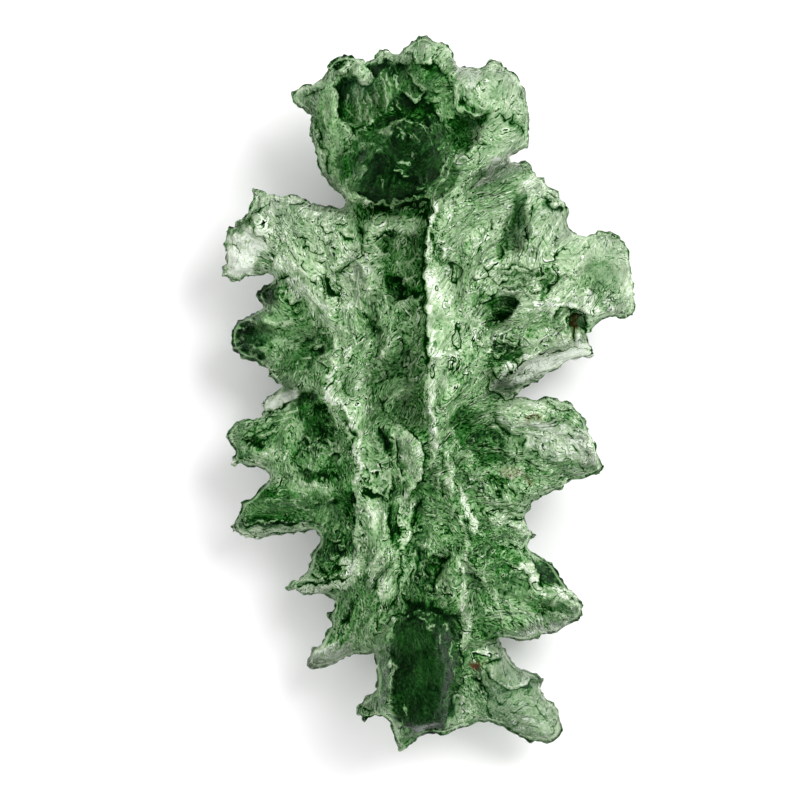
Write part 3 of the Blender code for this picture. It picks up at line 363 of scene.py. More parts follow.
def curve_through(path):
    """Points every STEP millimetres along a smooth curve through the path's points."""
    path = np.array(path, float)
    path = np.vstack([2 * path[0] - path[1], path, 2 * path[-1] - path[-2]])
    pieces = []
    for before, start, end, after in zip(path, path[1:], path[2:], path[3:]):
        share = np.arange(0, 1, STEP / max(np.linalg.norm(end - start), STEP))[:, None]
        bend = 2 * before - 5 * start + 4 * end - after
        twist = 3 * start - 3 * end + after - before
        pieces.append(start + 0.5 * share * (end - before + share * (bend + share * twist)))
    return np.vstack(pieces + [path[-2:-1]])


# %% What lies near a curve
warped_x = X + 0.10 * cloud(0.6, 41) + 0.05 * cloud(0.2, 42)
warped_y = Y + 0.10 * cloud(0.6, 43) + 0.05 * cloud(0.2, 44)
combed = 0.16 * hair + 0.16 * furrow
combed_x = warped_x + combed * np.cos(heading)
combed_y = warped_y + combed * np.sin(heading)


def around(path, reach, taper=0.16, x_map=warped_x, y_map=warped_y):
    """A window of the map round the path: its slices, signed distance (left is +) and a fade at both ends."""
    curve = curve_through(path)
    (left, bottom), (right, top) = curve.min(axis=0) - reach, curve.max(axis=0) + reach
    across = slice(*np.searchsorted(columns, (left, right)))
    along = slice(*np.searchsorted(rows, (bottom, top)))
    window = (along, across)
    x, y = x_map[window], y_map[window]
    nearest, distance = np.zeros(x.shape, int), np.full(x.shape, np.inf)
    for index, (px, py) in enumerate(curve):
        apart = np.hypot(x - px, y - py)
        closer = apart < distance
        distance[closer], nearest[closer] = apart[closer], index
    ahead = np.gradient(curve, axis=0)[nearest]
    from_curve = np.stack([x, y], axis=-1) - curve[nearest]
    side = np.sign(ahead[..., 0] * from_curve[..., 1] - ahead[..., 1] * from_curve[..., 0])
    share = nearest / (len(curve) - 1)
    fade = ramp(share, -0.02, taper) * ramp(1 - share, -0.02, taper) if taper else 1.0
    return window, distance * side, fade


# %% [markdown]
# The thin bright edges and dark feet of these ridges, a painted highlight along each crest and lip
# and painted shade along each cut and foot, are finer than the skin's triangles, so they can't be
# painted on its points. What can be kept there is the distance to the nearest line, with a plus on
# one side and a minus on the other. It changes evenly across a triangle, so the material finds where
# it crosses zero and draws a line as thin as it likes.

# %% Distances to thin lines
FAR = 2.0
EVERYWHERE = (slice(None), slice(None))
dark_line = np.full(X.shape, FAR)
bright_line = np.full(X.shape, FAR)
# gleam is the soft painted light round the bright lines, gloom the soft painted shade round the dark ones
gleam = np.zeros(X.shape)
gloom = np.zeros(X.shape)


def draw(line, glow, window, offset, strength, width):
    """Notes a line, thinner where it is weak, with painted glow round a bright one, painted shade round a
    dark one.
    """
    scaled = offset / np.maximum(strength, 0.04)
    here = line[window]
    line[window] = np.where(np.abs(scaled) < np.abs(here), scaled, here)
    glow[window] = np.maximum(glow[window], np.minimum(strength, 1) * np.exp(-((offset / width) ** 2)))


# %% Ribs, creases and ledges
LIP = 0.10
CREST_SHADE, CREASE_SHADE, FOOT_SHADE = 0.16, 0.2, 0.3

relief = np.zeros(X.shape)
shading = np.zeros(X.shape)
wear = np.clip(0.8 + 0.3 * cloud(0.5, 45), 0.2, 1.4)


def rib(path, high, wide, light=0.5):
    """A crest this high and wide in millimetres. Light is how bright the painted highlight on its top is."""
    window, offset, fade = around(path, wide)
    fade = fade * wear[window]
    crest = np.clip(1 - np.abs(offset) / (wide / 2), 0, 1)
    relief[window] += high * fade * crest**1.4
    shading[window] += CREST_SHADE * min(light, 1.0) * fade * crest
    draw(bright_line, gleam, window, offset, light * fade, 0.22 * wide)


def crease(path, deep, wide, dark=0.7):
    """A round-bottomed cut with a dark line of painted shade along it."""
    window, offset, fade = around(path, wide)
    fade = fade * wear[window]
    relief[window] -= deep * fade * np.exp(-((offset / (0.4 * wide)) ** 2))
    shading[window] -= CREASE_SHADE * min(dark, 1.0) * fade * np.exp(-((offset / (0.6 * wide)) ** 2))
    draw(dark_line, gloom, window, offset, dark * fade, 0.34 * wide)


def ledge(path, high, wide, dark=0.7, light=0.45):
    """A step, sharp on the right of the path: painted highlight on its lip, painted shade at its foot. It
    runs out to the left.
    """
    window, offset, fade = around(path, 3 * wide)
    fade = fade * wear[window]
    step = ramp(offset, -0.5 * LIP, 0.5 * LIP) * np.exp(-np.maximum(offset, 0) / wide)
    relief[window] += high * fade * step
    shading[window] += CREST_SHADE * min(light, 1.0) * fade * step
    foot = (1 - ramp(offset, -0.5 * LIP, 0.5 * LIP)) * np.exp(np.minimum(offset, 0) / (0.5 * wide))
    shading[window] -= FOOT_SHADE * min(dark, 1.0) * fade * foot
    draw(bright_line, gleam, window, offset - LIP, light * fade, LIP)
    draw(dark_line, gloom, window, offset + LIP, dark * fade, 1.4 * LIP)


# %% [markdown]
# Three more tools. A pit is where a gas bubble burst open. A brush lays a value along a path, with
# its edges combed out along the grain, and a patch fills an outline with a crisp edge, for a facet
# or a leaf of glass that has one tone of its own.

# %% Pits, brush and patches
def pit(x, y, half_wide, half_long, deep, turn=0.0, dark=0.75, light=0.6):
    """An oval bubble pit, turned by degrees, with painted shade on its rim and a painted highlight on its
    floor.
    """
    c, s = np.cos(np.radians(turn)), np.sin(np.radians(turn))
    u, v = (warped_x - x) * c + (warped_y - y) * s, (warped_y - y) * c - (warped_x - x) * s
    out = np.hypot(u / half_wide, v / half_long)
    relief[:] -= deep * ramp(1.15 - out, 0, 0.5)
    draw(dark_line, gloom, EVERYWHERE, (out - 1.05) * min(half_wide, half_long), dark, 0.06)
    gleam[:] = np.maximum(gleam, light * ramp(0.8 - out, 0, 0.5))


def brush(field, value, path, wide, soft=0.35, strength=1.0):
    """Paints a value along a path this wide. One point paints a spot."""
    path = list(path) if len(path) > 1 else [path[0], (path[0][0] + 0.01, path[0][1])]
    window, offset, _ = around(path, wide / 2 + soft + 0.5, 0, combed_x, combed_y)
    share = strength * (1 - ramp(np.abs(offset), (wide - soft) / 2, (wide + soft) / 2))
    field[window] += share * (value - field[window])


def patch(field, value, corners, soft=0.08):
    """Fills the smooth outline through these corners, with an edge this soft."""
    curve = curve_through(list(corners) + [corners[0]])
    (left, bottom), (right, top) = curve.min(axis=0) - 0.5, curve.max(axis=0) + 0.5
    along, across = np.searchsorted(rows, (bottom, top)), np.searchsorted(columns, (left, right))
    window = (slice(*along), slice(*across))
    x, y = warped_x[window], warped_y[window]
    inside, distance = np.zeros(x.shape, bool), np.full(x.shape, np.inf)
    for (px, py), (qx, qy) in zip(curve, np.roll(curve, -1, axis=0)):
        distance = np.minimum(distance, np.hypot(x - px, y - py))
        if py != qy:
            inside ^= ((py > y) != (qy > y)) & (x < px + (qx - px) * (y - py) / (qy - py))
    depth = np.where(inside, distance, -distance)
    field[window] += ramp(depth, -0.5 * soft, 0.5 * soft) * (value - field[window])


def strokes(field, *marks, soft=0.15):
    """Brushes several marks, each a value, a width and the places of its path."""
    for value, wide, *path in marks:
        brush(field, value, path, wide, soft)


def patches(field, *marks):
    """Fills several patches, each a value and the corners of its outline."""
    for value, *corners in marks:
        patch(field, value, corners)


lap("tools ready")

# %% [markdown]
# ## The crown
#
# The crown is a cup with a torn, petalled lip. The petals overlap, so each is a ledge with a painted
# highlight on its edge and painted shade at its foot. The wall below them is combed with fine upright
# ribs, and a rib with a painted highlight along it parts the cup from the broad right lobe.

# %% Petals, wall and right lobe
ledge([(-5.0, 20.0), (-4.5, 19.5), (-3.9, 19.35), (-3.5, 19.7), (-3.6, 20.4)], 0.34, 0.8)
rib([(-4.9, 21.0), (-4.1, 20.6), (-3.7, 20.0)], 0.16, 0.5)
rib([(-4.6, 20.9), (-4.3, 20.2), (-4.2, 19.7)], 0.1, 0.3, 0.6)
crease([(-6.3, 20.5), (-5.7, 20.4), (-5.3, 20.8)], 0.2, 0.4)
crease([(-6.1, 20.0), (-5.4, 19.8), (-5.0, 20.2)], 0.18, 0.35)
ledge([(-3.5, 20.5), (-3.0, 20.7), (-2.6, 20.9), (-2.3, 20.7)], 0.2, 0.5)
ledge([(-2.2, 20.9), (-2.0, 20.6), (-1.5, 20.5), (-1.2, 20.8)], 0.22, 0.5)
rib([(-2.7, 21.6), (-2.9, 20.9)], 0.14, 0.4)
rib([(-1.7, 21.5), (-1.6, 20.7)], 0.14, 0.4)
ledge([(-1.5, 21.3), (-0.95, 20.65), (-0.25, 20.25), (0.1, 20.45), (0.5, 20.35), (1.0, 19.65), (1.75, 19.05)],
      0.42, 1.1, 0.85, 0.5)
rib([(-0.9, 22.0), (-0.3, 21.4), (0.0, 20.7)], 0.1, 0.35)
rib([(0.3, 22.0), (0.6, 21.2), (0.9, 20.4)], 0.1, 0.35)
rib([(1.0, 21.8), (1.2, 21.0), (1.4, 20.0)], 0.1, 0.3)
ledge([(-1.2, 19.75), (-0.8, 19.15), (-0.1, 18.9), (0.5, 18.75)], 0.26, 0.6, 0.75, 0.7)
ledge([(-1.75, 18.8), (-1.1, 18.35), (-0.45, 18.55), (-0.1, 18.8)], 0.24, 0.5, 0.8, 0.5)
ledge([(0.95, 19.4), (1.3, 19.1), (1.65, 19.0)], 0.2, 0.35, 0.6, 0.9)
ledge([(0.1, 17.7), (0.3, 17.3), (0.7, 17.1), (1.0, 16.7), (1.5, 16.2), (1.8, 15.6)], 0.22, 0.5)
ledge([(-0.4, 18.0), (0.1, 17.9), (0.5, 18.3)], 0.18, 0.4)
for x, top, foot in ((-5.0, 18.9, 17.0), (-4.55, 19.3, 16.8), (-4.15, 19.3, 16.7), (-3.8, 19.2, 16.7),
                     (-3.35, 19.9, 17.0), (-2.9, 20.1, 17.2), (-2.5, 20.2, 17.6), (-2.1, 20.0, 17.8)):
    rib([(x, top), (x + 0.06, (top + foot) / 2), (x + 0.3, foot)], 0.13, 0.24, 0.6)
ledge([(-5.1, 15.1), (-4.8, 15.9), (-5.0, 16.4), (-5.45, 17.1), (-5.5, 18.2), (-5.7, 19.2)],
      0.36, 0.9, 0.9, 0.45)
crease([(-5.75, 14.9), (-5.3, 15.2), (-4.9, 15.6)], 0.16, 0.3)
rib([(-7.2, 16.8), (-6.95, 15.4), (-6.5, 14.2), (-5.9, 13.2)], 0.2, 0.3, 0.6)
crease([(-7.0, 17.6), (-6.75, 15.6), (-6.2, 14.2), (-5.6, 13.2)], 0.16, 0.28)
rib([(-8.3, 18.6), (-7.6, 19.2), (-6.8, 19.6)], 0.16, 0.4)
crease([(-8.1, 18.2), (-7.4, 18.6), (-6.7, 18.9)], 0.16, 0.3)
rib([(1.85, 20.0), (1.7, 18.9), (1.6, 18.1), (1.9, 17.65), (2.45, 17.5), (2.9, 17.6), (3.8, 17.55)],
    0.26, 0.32, 0.9)
crease([(2.0, 18.8), (1.95, 18.1), (2.5, 17.8), (3.3, 17.8)], 0.2, 0.3, 0.6)
ledge([(1.9, 19.3), (2.45, 19.05), (3.0, 19.35), (3.2, 19.9)], 0.2, 0.5, 0.6, 0.6)
rib([(2.9, 19.4), (3.0, 18.6), (3.55, 18.0)], 0.14, 0.35)
rib([(4.9, 18.6), (5.0, 18.0), (5.6, 17.75), (6.3, 17.8)], 0.16, 0.3, 0.8)
crease([(4.4, 17.6), (4.65, 17.1)], 0.16, 0.25)
crease([(5.0, 17.6), (5.25, 16.9), (5.9, 16.3)], 0.16, 0.3)
ledge([(2.9, 13.6), (2.95, 14.8), (3.0, 15.8), (2.9, 16.5), (3.4, 17.0)], 0.16, 0.6, 0.5, 0.4)
ledge([(3.2, 13.5), (3.9, 13.7), (4.7, 14.5)], 0.22, 0.5, 0.5, 0.9)
lap("crown carved")

# %% [markdown]
# ## The top boss
#
# The thick knob in the cup is glossy and nearly black. An arch rims it, a crumpled lip overhangs the
# trough below it, and one burst bubble on its face has a painted highlight.

# %% The knob, its lip and its bubble
ledge([(0.7, 15.1), (0.1, 16.0), (-0.35, 16.6), (-0.8, 17.1), (-1.8, 17.1), (-2.5, 16.85), (-3.0, 16.4)],
      0.3, 0.7, 0.5, 0.5)
ledge([(-3.3, 16.3), (-4.0, 16.55), (-4.6, 16.15), (-4.9, 15.5)], 0.24, 0.5, 0.5, 0.35)
for path in ([(-2.6, 16.2), (-2.0, 16.45), (-1.5, 16.3)], [(-1.8, 16.0), (-1.4, 16.2), (-0.9, 16.1)],
             [(-1.3, 15.8), (-0.9, 15.9), (-0.6, 15.6)], [(-2.2, 15.8), (-1.9, 16.0)]):
    rib(path, 0.16, 0.22, 0.55)
rib([(-2.8, 15.1), (-3.35, 14.85), (-3.9, 14.3), (-4.25, 13.3), (-4.45, 12.5)], 0.22, 0.4, 0.45)
rib([(-3.3, 15.4), (-3.9, 15.2), (-4.6, 15.1)], 0.16, 0.4, 0.3)
rib([(-2.3, 14.45), (-1.6, 14.35), (-0.95, 14.28)], 0.09, 0.16, 0.6)
rib([(-2.6, 13.95), (-1.9, 13.75), (-1.1, 13.65)], 0.12, 0.22, 0.5)
crease([(-2.4, 13.6), (-1.7, 13.3), (-0.7, 13.4)], 0.14, 0.3)
rib([(-3.2, 13.4), (-2.8, 13.0), (-3.0, 12.7)], 0.14, 0.3, 0.3)
rib([(-0.9, 13.2), (-0.4, 12.8), (-0.5, 12.5)], 0.12, 0.25, 0.3)
pit(-1.04, 14.8, 0.15, 0.27, 0.16, 8, 0.5, 1.0)
# the black line under the lip is painted shadow, and the bright specks along it painted highlights
ledge([(-0.1, 12.2), (-0.6, 12.35), (-1.2, 12.3), (-2.2, 12.15), (-3.4, 11.95), (-4.3, 12.15), (-5.2, 12.7)],
      0.3, 0.6, 1.0, 0.5)
crease([(-4.4, 11.95), (-3.4, 11.75), (-2.2, 11.8), (-1.2, 11.95), (-0.2, 11.85)], 0.3, 0.5, 1.0)
for x in (-4.05, -3.8, -3.45, -2.3, -1.0, -0.55):
    rib([(x - 0.12, 11.85), (x + 0.1, 11.98)], 0.14, 0.22, 1.0)
pit(-3.45, 11.27, 0.17, 0.17, 0.08, 0, 0.4, 0.9)
for x, y in ((0.2, 12.3), (0.8, 13.2), (1.3, 14.2), (0.5, 13.6)):
    rib([(x, y), (x + 0.3, y + 0.6), (x + 0.6, y + 1.3)], 0.12, 0.2, 0.6)
lap("top boss carved")

# %% [markdown]
# ## Ridges and trough
#
# Two long pale ridges run down the stone with the trough between them. The right one overhangs the
# trough, and the shadow under its left edge is painted as the blackest line on the stone. Lower down
# the ridges split and fold round each other in leaves and loops.

# %% The right ridge
ledge([(0.35, 12.6), (-0.05, 10.9), (-0.15, 9.4), (-0.35, 7.3), (-0.53, 6.4), (-0.35, 5.8), (-0.15, 3.7),
       (-0.1, 2.2), (-0.12, 1.2)], 0.36, 1.3, 2.2, 0.9)
rib([(0.35, 12.4), (0.05, 11.4), (0.1, 10.6), (0.55, 9.7), (0.8, 8.8)], 0.2, 0.26, 1.0)
crease([(0.4, 10.6), (0.3, 9.6), (0.35, 8.6)], 0.16, 0.4, 0.5)
rib([(-0.12, 1.2), (0.0, -0.7), (0.15, -1.9), (0.32, -2.9), (0.4, -3.6)], 0.26, 0.3, 1.0)
rib([(0.25, -0.8), (0.45, -2.2), (0.6, -3.2)], 0.16, 0.22, 0.7)
rib([(0.05, -3.2), (0.2, -4.3)], 0.2, 0.28, 0.8)
rib([(0.93, -3.4), (1.1, -4.4), (1.3, -5.4), (1.15, -6.4)], 0.2, 0.26, 0.8)
crease([(0.6, -3.6), (0.75, -4.8), (0.9, -6.0)], 0.2, 0.3)
crease([(1.3, -3.6), (1.5, -4.8)], 0.16, 0.25)
rib([(1.9, -5.5), (2.07, -6.4), (2.4, -7.1), (2.7, -7.9), (2.9, -8.4)], 0.26, 0.3, 1.0)
rib([(1.8, -7.4), (2.25, -8.3), (2.55, -9.2), (2.6, -9.8)], 0.2, 0.28, 0.8)
crease([(2.2, -7.5), (2.5, -8.4), (2.75, -9.0)], 0.16, 0.22, 0.6)
for x, y in ((2.05, -9.7), (2.2, -10.15), (2.35, -10.6), (2.6, -11.0)):
    rib([(x, y), (x + 0.35, y - 0.45), (x + 0.9, y - 0.85)], 0.14, 0.2, 0.8)
    crease([(x, y - 0.2), (x + 0.35, y - 0.65), (x + 0.85, y - 1.0)], 0.14, 0.18, 0.6)
rib([(1.7, -9.5), (1.95, -10.7), (2.2, -11.5), (2.05, -12.6), (2.1, -14.2), (2.15, -15.8)], 0.2, 0.4, 0.7)
pit(1.53, 7.7, 0.2, 0.55, 0.12, 5, 0.7, 0.7)
pit(1.63, 3.55, 0.26, 0.52, 0.16, -4, 1.0, 0.8)
pit(1.67, 4.3, 0.19, 0.2, 0.1, 0, 0.7, 0.7)
pit(1.4, 2.0, 0.15, 0.32, 0.08, 0, 0.5, 0.6)
pit(0.2, 1.6, 0.13, 0.3, 0.08, 0, 0.5, 0.6)
pit(0.45, 6.6, 0.1, 0.2, 0.05, 10, 0.4, 0.5)
lap("right ridge carved")

# %% The left ridge and the broad ridge below it
rib([(-8.9, 7.4), (-8.3, 7.2), (-7.9, 6.8), (-7.4, 6.1), (-6.85, 5.6), (-6.1, 5.0)], 0.22, 0.5, 0.8)
rib([(-10.4, 10.0), (-9.6, 9.3), (-8.4, 8.1), (-7.0, 7.1), (-6.2, 5.9)], 0.16, 0.4, 0.6)
rib([(-6.1, 4.8), (-5.85, 3.8), (-5.7, 2.9)], 0.16, 0.4, 0.6)
rib([(-5.9, 2.7), (-6.05, 1.5), (-6.2, 0.7)], 0.22, 0.32, 1.0)
rib([(-6.8, 0.3), (-6.2, 0.55), (-5.9, 0.1), (-5.35, -0.7), (-4.75, -1.4), (-4.35, -2.3), (-4.2, -3.1)],
    0.3, 0.36, 1.0)
rib([(-4.85, -2.3), (-4.55, -3.2), (-4.4, -4.3), (-4.6, -5.0)], 0.26, 0.3, 0.9)
crease([(-5.6, -0.9), (-5.0, -1.8), (-4.75, -2.8), (-4.85, -3.8)], 0.26, 0.4, 0.8)
ledge([(-4.3, 2.75), (-5.0, 2.3), (-5.4, 1.3), (-5.5, 0.3), (-5.0, -0.5)][::-1], 0.16, 0.7, 0.5, 0.4)
rib([(-6.0, 4.6), (-5.3, 4.0), (-5.0, 3.0)], 0.12, 0.35, 0.4)
ledge([(-2.45, -9.4), (-2.5, -8.0), (-2.65, -6.6), (-3.3, -6.3), (-4.0, -5.8), (-4.3, -5.0)],
      0.0, 0.5, 0.9, 0.3)
ledge([(-4.67, -5.2), (-4.7, -6.4), (-4.65, -7.8), (-4.6, -9.9)], 0.28, 1.2, 0.6, 0.3)
crease([(-4.05, -5.5), (-4.0, -6.25)], 0.26, 0.26, 0.9)
rib([(-2.75, -6.6), (-2.75, -7.8), (-2.9, -9.0), (-3.3, -10.2), (-4.0, -11.2)], 0.22, 0.4, 0.7)
rib([(-3.9, -6.2), (-3.6, -7.2), (-3.5, -8.2)], 0.12, 0.5, 0.5)
rib([(-2.1, -9.95), (-2.35, -10.8), (-2.8, -11.6), (-3.1, -12.4), (-3.0, -13.4)], 0.24, 0.42, 0.9)
ledge([(-1.8, -9.5), (-1.7, -10.7), (-2.0, -12.2), (-2.3, -13.2)], 0.0, 0.5, 0.8, 0.4)
rib([(-2.5, -9.5), (-3.1, -10.4), (-3.7, -11.4)], 0.1, 0.3, 0.4)
crease([(-2.6, -9.9), (-3.1, -11.0), (-3.5, -12.2)], 0.14, 0.3, 0.5)
lap("left ridge carved")

# %% The trough
crease([(-4.6, 11.0), (-4.45, 10.4), (-4.2, 9.7), (-4.15, 9.1), (-4.6, 8.6), (-5.2, 7.95), (-5.8, 7.7)],
       0.34, 0.34, 1.0)
crease([(-5.85, 8.2), (-5.8, 7.4), (-5.75, 6.2), (-5.3, 5.6)], 0.2, 0.3, 0.7)
rib([(-5.4, 7.4), (-5.1, 6.8), (-4.6, 6.6)], 0.14, 0.3, 0.6)
rib([(-5.0, 7.5), (-4.7, 7.1)], 0.1, 0.25, 0.5)
crease([(-4.3, 4.9), (-4.0, 4.8), (-3.6, 4.3), (-3.35, 3.95)], 0.34, 0.4, 1.0)
ledge([(-0.6, 10.2), (-1.8, 10.1), (-3.0, 10.15), (-3.9, 10.0)][::-1], 0.18, 0.6, 0.4, 0.2)
ledge([(-1.95, 9.1), (-1.7, 9.5), (-1.3, 9.45), (-1.2, 9.1), (-1.5, 8.9)], 0.16, 0.4, 0.6, 0.2)
rib([(-2.0, 8.5), (-1.6, 8.4), (-1.1, 8.6), (-0.7, 8.9)], 0.16, 0.25, 0.5)
rib([(-1.75, 7.6), (-1.6, 7.25), (-1.2, 7.4), (-0.9, 7.6)], 0.18, 0.22, 0.8)
crease([(-2.4, 7.1), (-2.0, 7.3), (-1.7, 6.9), (-1.8, 6.2)], 0.22, 0.34, 0.9)
crease([(-2.9, 9.9), (-2.6, 9.4), (-2.8, 8.8)], 0.16, 0.3, 0.7)
rib([(-3.5, 9.7), (-3.2, 9.1), (-3.2, 8.4)], 0.12, 0.25, 0.5)
rib([(-2.15, 4.7), (-2.5, 3.8), (-2.8, 3.0), (-3.3, 1.95)], 0.2, 0.3, 0.9)
crease([(-2.45, 3.0), (-1.9, 3.05), (-1.3, 3.45)], 0.14, 0.18, 0.9)
crease([(-2.6, 1.85), (-2.0, 2.2), (-1.4, 2.8)], 0.14, 0.18, 0.9)
ledge([(-0.75, 6.1), (-0.7, 5.2), (-0.9, 4.2)][::-1], 0.2, 0.4, 0.6, 0.3)
ledge([(-2.3, 5.6), (-1.7, 6.2), (-1.1, 6.3), (-0.8, 6.0)][::-1], 0.12, 0.4, 0.5, 0.4)
rib([(-2.1, 0.3), (-1.9, -0.2), (-1.45, -0.1), (-1.2, 0.4)], 0.18, 0.2, 0.8)
ledge([(-2.1, 1.1), (-1.7, 1.45), (-1.3, 1.1), (-1.5, 0.7)], 0.14, 0.3, 0.6, 0.3)
crease([(-3.1, 0.2), (-3.05, -0.6), (-3.0, -1.4)], 0.2, 0.22, 0.9)
rib([(-2.9, 0.4), (-2.4, -0.4), (-2.5, -1.1)], 0.12, 0.25, 0.4)
rib([(-1.3, -0.6), (-1.1, -1.2)], 0.12, 0.2, 0.5)
ledge([(-3.0, -1.85), (-2.4, -1.75), (-1.8, -1.95), (-1.1, -2.35), (-0.6, -2.9), (-0.5, -3.9), (-0.6, -4.8),
       (-1.0, -5.8), (-1.6, -6.6)][::-1], 0.28, 0.6, 0.9, 0.7)
crease([(-3.0, -2.0), (-2.75, -2.6), (-2.75, -3.5)], 0.3, 0.42, 1.0)
crease([(-2.4, -2.3), (-2.1, -3.3), (-1.9, -4.4), (-1.7, -5.2)], 0.18, 0.24, 0.7)
rib([(-2.4, -2.6), (-2.2, -3.6), (-1.9, -4.8), (-1.6, -5.3)], 0.16, 0.26, 0.7)
ledge([(-4.15, -3.9), (-3.9, -4.5), (-3.5, -5.2), (-3.3, -5.3)], 0.14, 0.4, 0.7, 0.6)
rib([(-3.5, -2.6), (-3.4, -3.6), (-3.6, -4.6)], 0.14, 0.35, 0.5)
ledge([(-4.0, -5.4), (-3.3, -5.9), (-2.65, -6.45), (-2.4, -5.6), (-2.6, -4.6)], 0.16, 0.5, 0.8, 0.6)
rib([(-1.75, -6.5), (-1.6, -7.8), (-1.45, -9.3)], 0.24, 0.4, 0.9)
crease([(-1.95, -6.6), (-1.95, -7.9), (-1.8, -9.2)], 0.18, 0.24, 0.8)
crease([(-1.45, -9.5), (-1.0, -8.75), (-0.55, -8.4)], 0.2, 0.2, 1.0)
crease([(-0.5, -6.2), (-0.9, -7.2), (-1.1, -8.2)], 0.18, 0.3, 0.7)
rib([(-0.5, -8.4), (-0.12, -9.3), (0.4, -9.75), (0.9, -10.1)], 0.16, 0.22, 0.8)
crease([(0.0, -9.7), (0.5, -10.05), (1.05, -10.3)], 0.2, 0.22, 1.0)
crease([(1.15, -9.3), (1.1, -10.2), (0.6, -10.6), (0.25, -11.1), (0.15, -11.7), (-0.4, -12.5)],
       0.22, 0.26, 1.0)
rib([(0.9, -10.9), (0.5, -11.6), (0.4, -12.4)], 0.16, 0.35, 0.5)
for x, top, foot in ((-0.9, -9.6, -11.6), (-1.3, -10.0, -12.2), (-0.4, -9.9, -11.2)):
    rib([(x, top), (x - 0.1, (top + foot) / 2), (x + 0.05, foot)], 0.14, 0.2, 0.7)
    crease([(x + 0.18, top), (x + 0.08, (top + foot) / 2), (x + 0.25, foot)], 0.16, 0.18, 0.8)
lap("trough carved")

# %% [markdown]
# ## The right wings
#
# The upper right fan is crumpled near the trough and smooth at its outer lobe. It has a deep cleft
# at the top, a crescent hollow in the middle and one brown-stained hole. The middle fan ends in a
# thick black rim, the low arm in a dark lens.

# %% The upper fan, its cleft and its hole
ledge([(6.05, 9.2), (6.05, 10.5), (6.1, 12.1)], 0.4, 0.6, 1.0, 0.3)
crease([(5.7, 12.1), (5.6, 11.2), (5.5, 10.2)], 0.34, 0.8, 0.6)
rib([(5.45, 11.6), (5.35, 10.9), (5.4, 10.3)], 0.14, 0.3, 0.3)
for x, y in ((4.3, 9.4), (4.7, 9.9), (5.1, 9.5), (5.0, 10.3), (4.4, 10.4), (3.8, 10.9)):
    crease([(x, y), (x + 0.25, y - 0.35), (x + 0.1, y - 0.8)], 0.18, 0.24, 0.8)
    rib([(x + 0.25, y + 0.1), (x + 0.45, y - 0.3), (x + 0.3, y - 0.7)], 0.12, 0.2, 0.5)
ledge([(6.7, 13.2), (7.1, 12.3), (7.6, 11.8), (8.1, 11.7), (8.5, 12.1)], 0.22, 0.4, 0.9, 0.6)
crease([(7.3, 12.7), (7.5, 12.2), (8.0, 12.2)], 0.2, 0.26, 0.9)
rib([(7.0, 12.9), (7.7, 12.6), (8.2, 12.4)], 0.14, 0.25, 0.7)
rib([(5.5, 13.2), (6.0, 12.7), (6.6, 12.9)], 0.16, 0.3, 0.7)
rib([(2.3, 12.7), (3.0, 13.1), (3.5, 13.3)], 0.12, 0.3, 0.5)
for y in (7.75, 7.3, 8.1, 6.75, 6.35):
    rib([(4.3 + 0.3 * abs(y - 7.5), y), (5.2, y + 0.14), (6.1, y), (7.0, y - 0.05)], 0.14, 0.26, 0.65)
    crease([(4.5, y - 0.2), (5.4, y - 0.1), (6.4, y - 0.22)], 0.1, 0.18, 0.4)
ledge([(7.55, 8.2), (7.5, 7.8), (7.65, 7.3), (7.3, 6.7), (6.9, 6.2)][::-1], 0.3, 0.5, 1.0, 0.5)
crease([(7.6, 8.3), (8.5, 8.8), (9.3, 9.15), (10.1, 9.5)], 0.14, 0.2, 0.8)
rib([(7.7, 8.0), (8.6, 8.5), (9.6, 8.9)], 0.14, 0.5, 0.5)
crease([(7.3, 7.1), (8.4, 7.4), (9.0, 7.2)], 0.08, 0.2, 0.3)
for x, y in ((9.9, 6.7), (10.4, 6.5), (10.8, 6.9), (10.3, 7.2), (11.0, 6.2)):
    crease([(x, y), (x + 0.3, y - 0.2), (x + 0.55, y - 0.55)], 0.12, 0.2, 0.7)
for r in (0.0, 0.35, 0.7):
    rib([(11.2 + r, 8.9 - 0.3 * r), (11.8 + r, 7.6), (11.75 + r, 6.2), (11.3 + r, 5.2)], 0.1, 0.25, 0.4)
ledge([(7.5, 4.4), (7.7, 5.1), (8.2, 5.5), (9.0, 5.65), (9.6, 5.3), (9.95, 4.6)], 0.3, 0.8, 0.7, 0.6)
ledge([(8.2, 4.2), (8.4, 4.8), (8.8, 5.1)], 0.2, 0.4, 0.5, 0.6)
pit(9.25, 4.6, 0.42, 0.58, 0.5, 20, 0.9, 0.0)
crease([(8.9, 4.6), (8.75, 4.1), (8.9, 3.3)], 0.26, 0.3, 1.0)
rib([(9.5, 5.1), (9.75, 4.6), (9.7, 4.1)], 0.16, 0.22, 0.7)
crease([(9.6, 3.7), (10.3, 3.9), (10.6, 4.2)], 0.14, 0.24, 0.6)
ledge([(4.2, 4.55), (5.2, 5.05), (5.4, 5.6), (5.15, 6.1)][::-1], 0.3, 0.5, 1.0, 0.5)
crease([(3.6, 4.05), (4.3, 4.6), (4.9, 5.2)], 0.22, 0.5, 0.6)
ledge([(3.7, 3.95), (4.7, 3.15), (5.3, 3.1), (5.5, 3.5)], 0.24, 0.6, 0.8, 0.8)
for x, y in ((3.0, 3.3), (3.9, 2.6), (4.6, 2.0), (5.2, 2.3), (4.0, 1.7), (5.5, 1.6), (2.9, 6.0), (3.4, 6.6),
             (3.9, 7.2), (2.6, 7.4), (3.1, 8.2), (2.2, 9.0)):
    ledge([(x, y), (x + 0.35, y - 0.28), (x + 0.8, y - 0.1), (x + 0.95, y + 0.3)], 0.18, 0.35, 0.8, 0.5)
lap("upper right fan carved")

